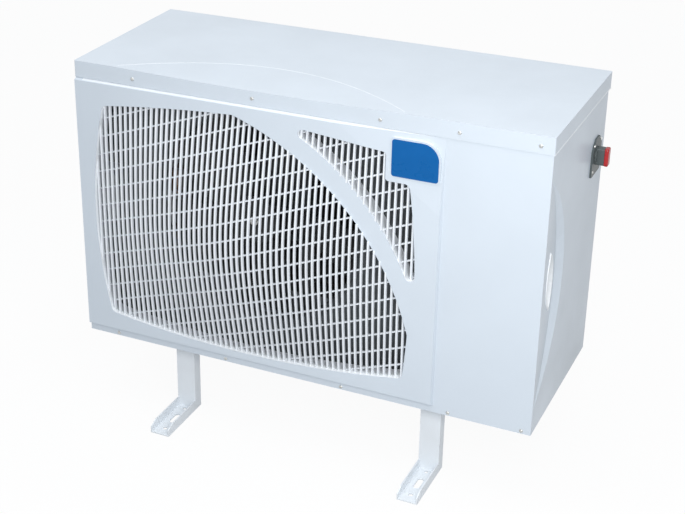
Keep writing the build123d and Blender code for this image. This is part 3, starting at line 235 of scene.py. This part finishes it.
def panelFinish(name, color, litWallWhite, roughness):
    # the front moulding: body paint in front, white on the window walls behind its face; that
    # white is partly the grille's white rim and partly painted light lifting walls that lie in
    # the bars' shadow
    made = Finish(name, color, roughness, coat=powder["coat"])
    cloud = made.noise(powder["cloudSize"], 3)
    depth = made.along("Y")
    across = made.along("X")
    litWallShare = made.between(depth, *litWallBounds["behind"])
    litWallShare = litWallShare * (1 - made.between(across, *litWallBounds["right"]))
    litWallShare = litWallShare * made.between(across, *litWallBounds["left"]) * litWallFacing(made)
    wear = made.between(cloud, *powder["wornSpan"]) * powder["panelWornShare"]
    tinted = made.blend(wear, color, wornColor(color))
    made.feed("Base Color", made.blend(litWallShare, tinted, litWallWhite))
    made.feed("Roughness", (roughness + (cloud - 0.5) * powder["unevenGloss"]).held())
    made.bump(made.noise(powder["peelSize"], 1), powder["panelRise"])
    return made.material


def litWallFacing(made):
    # 1 where a face looks sideways or up and down, as the window walls do
    facing = made.along("Y", made.node("ShaderNodeNewGeometry", output="True Normal"))
    return 1 - made.between(facing * facing, *litWallBounds["facing"])


plastic = {
    "rubSize": 0.05,
    "rubSpan": (0.35, 0.75),
    "rubShare": 0.35,
    "pale": 1.25,
    "paleLeast": 0.01,
    "unevenGloss": 0.2,
}


def plasticFinish(name, color, roughness, grain=0.0008, rise=0.00006, shine=0.5):
    # moulded plastic: fine grain and slight rubbing that changes the gloss
    made = Finish(name, color, roughness)
    made.shader.inputs["Specular IOR Level"].default_value = shine
    cloud = made.noise(plastic["rubSize"], 3)
    pale = tuple(min(1.0, c * plastic["pale"] + plastic["paleLeast"]) for c in color)
    rubbed = made.between(cloud, *plastic["rubSpan"]) * plastic["rubShare"]
    made.feed("Base Color", made.blend(rubbed, color, pale))
    made.feed("Roughness", (roughness + (cloud - 0.5) * plastic["unevenGloss"]).held())
    made.bump(made.noise(grain, 2), rise)
    return made.material


metal = {"dull": 0.72, "dullSpan": (0.35, 0.7), "scratch": 0.06, "rise": 0.00005}


def metalFinish(name, color, roughness, stretch=(1, 1, 1), size=0.03, spread=0.25):
    made = Finish(name, color, roughness, metallic=1.0)
    cloud = made.noise(size, 4, stretch)
    dull = tuple(c * metal["dull"] for c in color)
    made.feed("Base Color", made.blend(made.between(cloud, *metal["dullSpan"]), color, dull))
    made.feed("Roughness", (roughness + (cloud - 0.5) * spread).held())
    made.bump(made.noise(size * metal["scratch"], 2, stretch), metal["rise"])
    return made.material


zinc = {
    "color": (0.62, 0.65, 0.68),
    "dark": (0.50, 0.53, 0.56),
    "light": (0.70, 0.72, 0.75),
    "crystalsPerMetre": 130.0,
    "roughness": 0.42,
    "leastRoughness": 0.32,
    "unevenGloss": 0.25,
}


def galvanisedFinish(name):
    # spangled zinc: flat crystals, each a little lighter or darker
    made = Finish(name, zinc["color"], zinc["roughness"], metallic=1.0)
    pattern = {"Vector": made.place, "Scale": zinc["crystalsPerMetre"]}
    crystal = made.node("ShaderNodeTexVoronoi", {}, pattern, "Color")
    shade = made.node("ShaderNodeSeparateColor", {}, {"Color": crystal})
    made.feed("Base Color", made.blend(shade, zinc["dark"], zinc["light"]))
    made.feed("Roughness", (shade * zinc["unevenGloss"] + zinc["leastRoughness"]).held())
    return made.material


paint = (0.660, 0.725, 0.795)
finishes = {
    "casing_paint": paintFinish("CasingPaint", paint, 0.40, 0.3),
    # the window-wall white of this finish is partly painted light
    "panel_moulding": panelFinish("PanelPaintLitWalls", paint, (0.90, 0.93, 0.96), 0.38),
    "grille_paint": paintFinish("GrillePaint", (0.88, 0.91, 0.95), 0.36, 0.1, 0.00006),
    # painted light: the feet are painted paler than the casing paint they share, so that they
    # look brightly lit
    "foot_paint": paintFinish("FootPaintLit", (0.86, 0.90, 0.94), 0.42, 0.15),
    "galvanised_steel": galvanisedFinish("GalvanisedSteel"),
    "black_plastic": plasticFinish("BlackPlastic", (0.016, 0.018, 0.020), 0.55),
    "dark_plastic": plasticFinish("DarkPlastic", (0.045, 0.050, 0.054), 0.5),
    "isolator_grey": plasticFinish("IsolatorGrey", (0.075, 0.092, 0.095), 0.42),
    "knob_red": plasticFinish("KnobRed", (0.44, 0.012, 0.014), 0.28),
    "badge_blue": plasticFinish("BadgeBlue", (0.0, 0.105, 0.345), 0.30, 0.002, 0.00002, 0.2),
    "copper": metalFinish("Copper", (0.80, 0.42, 0.28), 0.32),
    "brass": metalFinish("Brass", (0.78, 0.60, 0.30), 0.35),
    # painted shade: the coil fins are a dark grey so that the coil looks dark behind the grille
    "fin_aluminium": plasticFinish("ShadedFins", (0.20, 0.215, 0.23), 0.45),
    "compressor_paint": plasticFinish("CompressorPaint", (0.014, 0.014, 0.016), 0.3, 0.002),
    "rubber": plasticFinish("Rubber", (0.012, 0.012, 0.012), 0.75),
    "zinc_steel": metalFinish("ZincSteel", (0.66, 0.67, 0.66), 0.3, size=0.01),
}
# the cups get a near-white that is a painted highlight for the light caught in their pockets, and
# the nodes seen only through the grille get dim flat colours that are painted shade
paintedLightFinishes = {
    # painted highlight: the handle cups are near-white so that their pockets look lit
    "handle_cup_left": paintFinish("CupPaintedHighlightLeft", (0.93, 0.95, 0.97), 0.34, 0.1),
    "handle_cup_right": paintFinish("CupPaintedHighlightRight", (0.93, 0.95, 0.97), 0.34, 0.1),
    # painted shade: the parts behind the grille get dim flat greys and a darkened copper for the
    # dark inside; the orifice grey is lifted above its black plastic as painted light
    "fan_orifice": plasticFinish("OrificeShade", (0.075, 0.085, 0.092), 0.6),
    "condenser_tubes": metalFinish("ShadedCopper", (0.22, 0.13, 0.09), 0.5),
    "coil_end_plates": plasticFinish("EndPlateShade", (0.12, 0.13, 0.14), 0.5),
    "motor_bracket": plasticFinish("BracketShade", (0.07, 0.08, 0.085), 0.5),
    "partition_panel": plasticFinish("PartitionShade", (0.10, 0.11, 0.12), 0.5),
}
print("finishes made:", len(finishes))

for row in frame["record"]["subparts"]:
    piece = nodes[row["node"]]
    piece.data.materials.clear()
    piece.data.materials.append(finishes[row["material_slot"]])
for name, finish in paintedLightFinishes.items():
    nodes[name].data.materials[0] = finish

# sheet edges catch a thin line of light, so the pressed and moulded nodes get a small bevel
edges = {
    "top_cover": 0.0016,
    "front_panel": 0.0012,
    "right_side_panel": 0.0006,
    "left_side_panel": 0.0006,
    "base_pan": 0.0006,
    "handle_cup_left": 0.0010,
    "handle_cup_right": 0.0010,
    "foot_front_left": 0.0009,
    "foot_front_right": 0.0009,
    "foot_rear_left": 0.0009,
    "foot_rear_right": 0.0009,
    "badge_plate": 0.0007,
    "isolator_plate": 0.0009,
    "isolator_knob": 0.0011,
    "isolator_knob_cap": 0.0011,
    "rear_panel": 0.0004,
    "control_box": 0.0004,
}
sharpness = {"bevel": 35, "node": 28, "bar": 50, "screw": 40, "handle": 40, "dial": 35}
for name, width in edges.items():
    bevel = nodes[name].modifiers.new("softEdge", "BEVEL")
    bevel.width = width
    bevel.segments = 2
    bevel.limit_method = "ANGLE"
    bevel.angle_limit = math.radians(sharpness["bevel"])
    bevel.harden_normals = True
for piece in nodes.values():
    piece.data.shade_smooth()
    piece.data.set_sharp_from_angle(angle=math.radians(sharpness["node"]))
print("edges softened:", len(edges))


def meshFrom(name, shape, sharp, turnOut=True):
    # a finished mesh from bmesh work, smooth but for its sharper edges
    if turnOut:
        bmesh.ops.recalc_face_normals(shape, faces=shape.faces)
    made = bpy.data.meshes.new(name)
    shape.to_mesh(made)
    shape.free()
    made.shade_smooth()
    made.set_sharp_from_angle(angle=math.radians(sharpness[sharp]))
    return made


def makePiece(name, mesh, slot, body="casing"):
    piece = bpy.data.objects.new(name, mesh)
    bpy.context.scene.collection.objects.link(piece)
    piece.data.materials.append(finishes[slot])
    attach(piece, body)
    return piece


def islands(name):
    # the separate solids of a node, each as a list of its corners
    mesh = nodes[name].data
    owner = list(range(len(mesh.vertices)))

    def root(index):
        while owner[index] != index:
            owner[index] = owner[owner[index]]
            index = owner[index]
        return index

    for edge in mesh.edges:
        a, b = root(edge.vertices[0]), root(edge.vertices[1])
        owner[a] = b
    spots = {}
    for vertex in mesh.vertices:
        key = tuple(round(c, 6) for c in vertex.co)
        if key in spots:
            owner[root(vertex.index)] = root(spots[key])
        spots[key] = vertex.index
    groups = {}
    for vertex in mesh.vertices:
        groups.setdefault(root(vertex.index), []).append(vertex.co.copy())
    return list(groups.values())


grille = {
    "width": 0.0038,
    "depth": 0.0080,
    "crossWidth": 0.0032,
    "crossDepth": 0.0050,
    "crossGap": 0.0003,
    "round": 0.0009,
    "roundCut": 0.3,
    "tuck": 0.0012,
    "front": -0.216,
    "dome": 0.048,
    "centre": (-0.155, 0.495),
    "reach": (0.357, 0.429, 0.273, 0.300),
    "soft": 0.35,
    "step": 0.012,
    "slope": math.radians(19.5),
}


def domeFall(run):
    soft = grille["soft"]
    top = math.sqrt(1 + soft * soft) - soft
    return (math.sqrt(run * run + soft * soft) - soft) / top


def domeY(x, z):
    left, right, down, up = grille["reach"]
    dx = x - grille["centre"][0]
    dz = z - grille["centre"][1]
    sideways = domeFall(dx / (left if dx < 0 else right))
    upright = domeFall(dz / (down if dz < 0 else up))
    return grille["front"] - grille["dome"] * max(0, 1 - sideways) * max(0, 1 - upright)


def sweepBars(name, runs, width, depth, across):
    # each run is a list of front-line points; the bar is a rounded strip along it
    corner = grille["round"]
    cut = grille["roundCut"] * corner
    half = width / 2
    profile = [
        (-half, depth),
        (-half, corner),
        (-half + cut, cut),
        (-half + corner, 0),
        (half - corner, 0),
        (half - cut, cut),
        (half, corner),
        (half, depth),
    ]
    count = len(profile)
    vertices = []
    faces = []
    for run in runs:
        base = len(vertices)
        for point in run:
            for side, back in profile:
                vertices.append(point + across * side + Vector((0, back, 0)))
        for i in range(len(run) - 1):
            for j in range(count):
                a = base + i * count + j
                b = base + i * count + (j + 1) % count
                faces.append((a, b, b + count, a + count))
        faces.append(tuple(base + j for j in range(count)))
        last = base + (len(run) - 1) * count
        faces.append(tuple(last + j for j in reversed(range(count))))
    plain = bpy.data.meshes.new(name + "Plain")
    plain.from_pydata([tuple(v) for v in vertices], [], faces)
    shape = bmesh.new()
    shape.from_mesh(plain)
    bpy.data.meshes.remove(plain)
    return makePiece(name, meshFrom(name, shape, "bar"), "grille_paint")


def sampled(start, end):
    count = max(2, math.ceil((end - start) / grille["step"]))
    return [start + (end - start) * i / count for i in range(count + 1)]


uprightRuns = []
for corners in islands("grille_vertical_bars"):
    x = sum(c.x for c in corners) / len(corners)
    lowZ = min(c.z for c in corners) - grille["tuck"]
    highZ = max(c.z for c in corners) + grille["tuck"]
    uprightRuns.append([Vector((x, domeY(x, z), z)) for z in sampled(lowZ, highZ)])
uprights = sweepBars(
    "GrilleUprights", uprightRuns, grille["width"], grille["depth"], Vector((1, 0, 0))
)
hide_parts("grille_vertical_bars")

crossRuns = []
rise = math.tan(grille["slope"])
for corners in islands("grille_cross_bars"):
    lowX = min(c.x for c in corners)
    highX = max(c.x for c in corners)
    # the bar's own line, through the middle of its corners
    offset = sum(c.z - c.x * rise for c in corners) / len(corners)
    run = []
    for x in sampled(lowX - grille["tuck"], highX + grille["tuck"]):
        z = offset + x * rise
        run.append(Vector((x, domeY(x, z) + grille["depth"] + grille["crossGap"], z)))
    crossRuns.append(run)
crossAcross = Vector((-math.sin(grille["slope"]), 0, math.cos(grille["slope"])))
crossBars = sweepBars(
    "GrilleCrossBars", crossRuns, grille["crossWidth"], grille["crossDepth"], crossAcross
)
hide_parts("grille_cross_bars")
print("grille bars:", len(uprightRuns), "upright,", len(crossRuns), "cross")


# a head's profile is given in shares of its radius and height
screw = {
    "radius": 0.0043,
    "height": 0.0022,
    "sunk": -0.0004,
    "profile": ((1, 0.35), (0.88, 0.75), (0.62, 1), (0.34, 1.04), (0.28, 0.45)),
    "segments": 20,
    "coverDown": 0.022,
    "coverAcross": (-0.400, -0.107, 0.185, 0.355, 0.521),
    "baseAcross": (-0.470, -0.182, 0.109, 0.362, 0.527),
    "baseFront": -0.217,
    "baseHeight": 0.189,
    "rearHeights": (0.36, 0.58),
    "rearEnds": 0.014,
    "guardSides": (0.011, 0.008),
    "rearSides": (0.010, 0.011),
    "rearSize": 0.9,
}


def turned(mesh, rows, segments, spot, axis):
    # a round form from rows of (radius, height), standing at spot along axis
    facing = Vector((0, 0, 1)).rotation_difference(Vector(axis)).to_matrix()
    rings = []
    for radius, height in rows:
        ring = []
        for i in range(segments):
            angle = 2 * math.pi * i / segments
            local = Vector((radius * math.cos(angle), radius * math.sin(angle), height))
            ring.append(mesh.verts.new(facing @ local + Vector(spot)))
        rings.append(ring)
    for low, high in zip(rings, rings[1:]):
        for i in range(segments):
            j = (i + 1) % segments
            mesh.faces.new((low[i], low[j], high[j], high[i]))
    mesh.faces.new(list(reversed(rings[0])))
    mesh.faces.new(rings[-1])


def screwHeads(name, spots, axis, size=1.0):
    shape = bmesh.new()
    radius = screw["radius"] * size
    height = screw["height"] * size
    rows = [(radius, screw["sunk"])] + [(radius * a, height * b) for a, b in screw["profile"]]
    for spot in spots:
        turned(shape, rows, screw["segments"], spot, axis)
    return makePiece(name, meshFrom(name, shape, "screw"), "zinc_steel")


coverLow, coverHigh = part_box("top_cover")
guardLow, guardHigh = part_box("coil_guard")
rearLow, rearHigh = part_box("rear_panel")
rearAcross = (
    guardLow.x + screw["guardSides"][0],
    guardHigh.x - screw["guardSides"][1],
    rearLow.x + screw["rearSides"][0],
    rearHigh.x - screw["rearSides"][1],
)
rearUp = (guardLow.z + screw["rearEnds"], *screw["rearHeights"], coverLow.z - screw["rearEnds"])
coverUp = coverHigh.z - screw["coverDown"]
screwHeads("CoverScrews", [(x, coverLow.y, coverUp) for x in screw["coverAcross"]], (0, -1, 0))
screwHeads(
    "BaseScrews",
    [(x, screw["baseFront"], screw["baseHeight"]) for x in screw["baseAcross"]],
    (0, -1, 0),
)
screwHeads(
    "RearScrews",
    [(x, rearHigh.y, z) for x in rearAcross for z in rearUp],
    (0, 1, 0),
    screw["rearSize"],
)
print("screws placed")

isolator = {
    "knobWidth": 0.0190,
    "knobHeight": 0.0400,
    "knobRound": 0.0040,
    "knobEdge": 0.00072,
    "knobSunk": 0.0005,
    "tipThick": 0.0085,
    "tipProud": 0.0004,
    "tipEdge": 0.00264,
    "tipGap": 0.0003,
    "dial": (
        (0.0180, -0.0005),
        (0.0180, 0.0020),
        (0.0168, 0.0032),
        (0.0145, 0.0036),
        (0.0140, 0.0028),
        (0.0090, 0.0028),
    ),
    "dialSegments": 40,
    "screwInset": (0.027, 0.030),
    "screwSize": 0.75,
}


def handleBlock(name, middle, proud, lowX, highX, edge, slot):
    # a rounded block between two x planes, with a soft edge round its outer face;
    # its faces are turned out before the edge is cut, since later they may turn in
    outline = roundedOutline(middle, proud)
    shape = bmesh.new()
    base = [shape.verts.new((lowX, y, z)) for y, z in outline]
    top = [shape.verts.new((highX, y, z)) for y, z in outline]
    shape.faces.new(list(reversed(base)))
    cap = shape.faces.new(top)
    for i in range(len(outline)):
        j = (i + 1) % len(outline)
        shape.faces.new((base[i], base[j], top[j], top[i]))
    bmesh.ops.recalc_face_normals(shape, faces=shape.faces)
    rim = list(cap.edges)
    rim += [e for e in shape.edges if (e.verts[0] in base) != (e.verts[1] in base)]
    bmesh.ops.bevel(shape, geom=rim, offset=edge, segments=3, affect="EDGES", profile=0.5)
    mesh = meshFrom(name, shape, "handle", turnOut=False)
    return makePiece(name, mesh, slot, "isolator_handle")


def roundedOutline(middle, proud, steps=5):
    # from the lower front corner round to the lower rear one
    radius = isolator["knobRound"]
    halfWide = isolator["knobWidth"] / 2 + proud - radius
    halfHigh = isolator["knobHeight"] / 2 + proud - radius
    points = []
    for sideY, sideZ, start in ((1, -1, -90), (1, 1, 0), (-1, 1, 90), (-1, -1, 180)):
        for i in range(steps + 1):
            angle = math.radians(start + 90 * i / steps)
            y = middle[0] + sideY * halfWide + radius * math.cos(angle)
            points.append((y, middle[1] + sideZ * halfHigh + radius * math.sin(angle)))
    return points


plateLow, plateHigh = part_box("isolator_plate")
knobLow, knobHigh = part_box("isolator_knob_cap")
knobMiddle = ((knobLow.y + knobHigh.y) / 2, (knobLow.z + knobHigh.z) / 2)
tipStart = knobHigh.x - isolator["tipThick"]
knobBlock = handleBlock(
    "IsolatorHandle",
    knobMiddle,
    0,
    plateHigh.x - isolator["knobSunk"],
    tipStart - isolator["tipGap"],
    isolator["knobEdge"],
    "isolator_grey",
)
knobTip = handleBlock(
    "IsolatorHandleTip",
    knobMiddle,
    isolator["tipProud"],
    tipStart,
    knobHigh.x,
    isolator["tipEdge"],
    "knob_red",
)
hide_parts("isolator_knob")
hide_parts("isolator_knob_cap")
dial = bmesh.new()
turned(dial, isolator["dial"], isolator["dialSegments"], (plateHigh.x, *knobMiddle), (1, 0, 0))
makePiece("IsolatorDial", meshFrom("IsolatorDial", dial, "dial"), "isolator_grey")
insetY, insetZ = isolator["screwInset"]
plateMiddle = ((plateLow.y + plateHigh.y) / 2, (plateLow.z + plateHigh.z) / 2)
screwHeads(
    "IsolatorScrews",
    [
        (plateHigh.x, plateMiddle[0] + a * insetY, plateMiddle[1] + b * insetZ)
        for a, b in ((-1, -1), (1, -1), (-1, 1), (1, 1))
    ],
    (1, 0, 0),
    isolator["screwSize"],
)
print("isolator dressed")

# fine fins over the few that the frame carries, each with a slight bend in its middle
coil = {"pitch": 0.0036, "thick": 0.0004, "bend": 0.0006}
finLow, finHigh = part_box("condenser_fins")
finMesh = bmesh.new()
finCount = int((finHigh.x - finLow.x) / coil["pitch"])
for index in range(finCount + 1):
    x = finLow.x + coil["thick"] + index * (finHigh.x - finLow.x - 2 * coil["thick"]) / finCount
    strip = []
    for row in range(3):
        y = finLow.y + (finHigh.y - finLow.y) * row / 2
        bend = coil["bend"] if row == 1 else 0
        strip.append([finMesh.verts.new((x + bend, y, z)) for z in (finLow.z, finHigh.z)])
    for first, second in zip(strip, strip[1:]):
        finMesh.faces.new((first[0], second[0], second[1], first[1]))
bmesh.ops.solidify(finMesh, geom=list(finMesh.faces), thickness=coil["thick"])
finData = bpy.data.meshes.new("CoilFins")
finMesh.to_mesh(finData)
finMesh.free()
coilFins = makePiece("CoilFins", finData, "fin_aluminium")
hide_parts("condenser_fins")
print("coil fins:", finCount + 1)

# rolled lower edge of the cover, thinner in front, where the panel stands before it; its bead is
# in the whiter grille paint, a painted highlight for the bright line along the edge
hemHighlight = {"front": 0.0007, "side": 0.0016, "inset": 0.0008, "down": 0.4}


def highlightBead(name, points, radius):
    # a thin round bead along straight runs, in the whiter grille paint as a painted highlight
    curve = bpy.data.curves.new(name, "CURVE")
    curve.dimensions = "3D"
    curve.bevel_depth = radius
    curve.bevel_resolution = 2
    curve.use_fill_caps = True
    line = curve.splines.new("POLY")
    line.points.add(len(points) - 1)
    for point, place in zip(line.points, points):
        point.co = (*place, 1)
    holder = bpy.data.objects.new(name + "Line", curve)
    mesh = bpy.data.meshes.new_from_object(holder)
    mesh.name = name
    bpy.data.objects.remove(holder)
    bpy.data.curves.remove(curve)
    mesh.shade_smooth()
    return makePiece(name, mesh, "grille_paint")


side = hemHighlight["side"]
hemZ = coverLow.z + hemHighlight["down"] * side
frontZ = coverLow.z + hemHighlight["down"] * hemHighlight["front"]
frontY = coverLow.y + hemHighlight["front"]
frontRun = [
    (coverLow.x + hemHighlight["front"], frontY, frontZ),
    (coverHigh.x - hemHighlight["front"], frontY, frontZ),
]
highlightBead("CoverHemHighlightFront", frontRun, hemHighlight["front"])
for name, x in (
    ("CoverHemHighlightLeft", coverLow.x + hemHighlight["inset"]),
    ("CoverHemHighlightRight", coverHigh.x - hemHighlight["inset"]),
):
    highlightBead(name, [(x, coverHigh.y - side, hemZ), (x, coverLow.y + side, hemZ)], side)
print("hem laid")

# painted highlight: a whiter bead along the rim of the shallow dip pressed into the cover's
# front, standing for the bright line of light on the crease
creaseHighlight = {
    "offset": -0.105,
    "halfWidth": 0.350,
    "length": 0.142,
    "radius": 0.0009,
    "sunk": 0.0005,
    "steps": 56,
}
rim = []
for step in range(1, creaseHighlight["steps"]):
    share = 2 * step / creaseHighlight["steps"] - 1
    rim.append(
        (
            creaseHighlight["offset"] + creaseHighlight["halfWidth"] * share,
            coverLow.y + creaseHighlight["length"] * (1 - share * share),
            coverHigh.z - creaseHighlight["sunk"],
        )
    )
highlightBead("CoverCreaseHighlight", rim, creaseHighlight["radius"])
print("crease laid")

view = {
    "azimuth": 26.13,
    "elevation": 25.19,
    "roll": -0.26,
    "place": (1.2075, -2.8296, 1.9028),
    "sensor": 36,
    "lens": 77.0216058,
    "shift": (0.1104, -0.0356),
    "far": 60,
}
azimuth = math.radians(view["azimuth"])
elevation = math.radians(view["elevation"])
back = Vector(
    (
        math.sin(azimuth) * math.cos(elevation),
        -math.cos(azimuth) * math.cos(elevation),
        math.sin(elevation),
    )
)
cameraData = bpy.data.cameras.new("Camera")
cameraData.lens = view["lens"]
cameraData.sensor_width = view["sensor"]
cameraData.shift_x, cameraData.shift_y = view["shift"]
cameraData.clip_end = view["far"]
camera = bpy.data.objects.new("Camera", cameraData)
bpy.context.scene.collection.objects.link(camera)
camera.rotation_mode = "QUATERNION"
camera.location = view["place"]
tilt = Matrix.Rotation(math.radians(view["roll"]), 3, back)
camera.rotation_quaternion = (tilt @ (-back).to_track_quat("-Z", "Y").to_matrix()).to_quaternion()
bpy.context.scene.camera = camera

# the floor bounces less light than it shows, so that the casing's lower parts stay darker
stage = {
    "size": 14.0,
    "gap": 0.0005,
    "color": (0.86, 0.87, 0.88),
    "bounce": (0.48, 0.49, 0.50),
    "glow": 0.94,
    "roughness": 0.85,
    "grainSize": 0.4,
    "unevenGloss": 0.1,
    "sky": (0.92, 0.96, 1.0, 1),
    "skyStrength": 0.58,
    "lampTarget": (0, 0, 0.5),
}
floorMesh = bpy.data.meshes.new("Floor")
reach = stage["size"] / 2
floorMesh.from_pydata(
    [(-reach, -reach, 0), (reach, -reach, 0), (reach, reach, 0), (-reach, reach, 0)],
    [],
    [(0, 1, 2, 3)],
)
floor = bpy.data.objects.new("Floor", floorMesh)
floor.location.z = cadBox[0].z - stage["gap"]
bpy.context.scene.collection.objects.link(floor)
floorFinish = Finish("FloorFinish", stage["color"], stage["roughness"])
grain = floorFinish.noise(stage["grainSize"], 2)
floorFinish.feed("Roughness", grain * stage["unevenGloss"] + stage["roughness"])
rays = floorFinish.backdropRays()
floorFinish.feed("Base Color", floorFinish.blend(rays, stage["bounce"], stage["color"]))
glow = floorFinish.node("ShaderNodeEmission", {}, {"Color": (1, 1, 1, 1), "Strength": 1.0})
lit = Wire(floorFinish.tree, floorFinish.shader.outputs[0])
floorFinish.surface("Material Output", rays * stage["glow"], lit, glow)
floor.data.materials.append(floorFinish.material)

world = bpy.data.worlds.new("Studio")
bpy.context.scene.world = world
world.use_nodes = True
air = Shading(world.node_tree)
air.tree.nodes.remove(air.tree.nodes["Background"])
skyInputs = {"Color": stage["sky"], "Strength": stage["skyStrength"]}
sky = air.node("ShaderNodeBackground", {}, skyInputs)
white = air.node("ShaderNodeBackground", {}, {"Color": (1, 1, 1, 1), "Strength": 1.0})
air.surface("World Output", air.backdropRays(), sky, white)

lamps = {
    "KeyLamp": {"place": (0.95, -1.55, 1.35), "size": 0.9, "power": 19, "color": (1.0, 1.0, 1.0)},
    "TopLamp": {"place": (-0.1, -0.7, 3.3), "size": 2.2, "power": 31, "color": (0.98, 0.99, 1.0)},
}
lampTarget = Vector(stage["lampTarget"])
for name, lamp in lamps.items():
    data = bpy.data.lights.new(name, "AREA")
    data.shape = "DISK"
    data.size = lamp["size"]
    data.energy = lamp["power"]
    data.color = lamp["color"]
    thing = bpy.data.objects.new(name, data)
    bpy.context.scene.collection.objects.link(thing)
    thing.location = lamp["place"]
    aim = lampTarget - Vector(lamp["place"])
    thing.rotation_mode = "QUATERNION"
    thing.rotation_quaternion = aim.to_track_quat("-Z", "Y")
bpy.context.scene.view_settings.view_transform = "Standard"
print("stage, lamps and camera set")
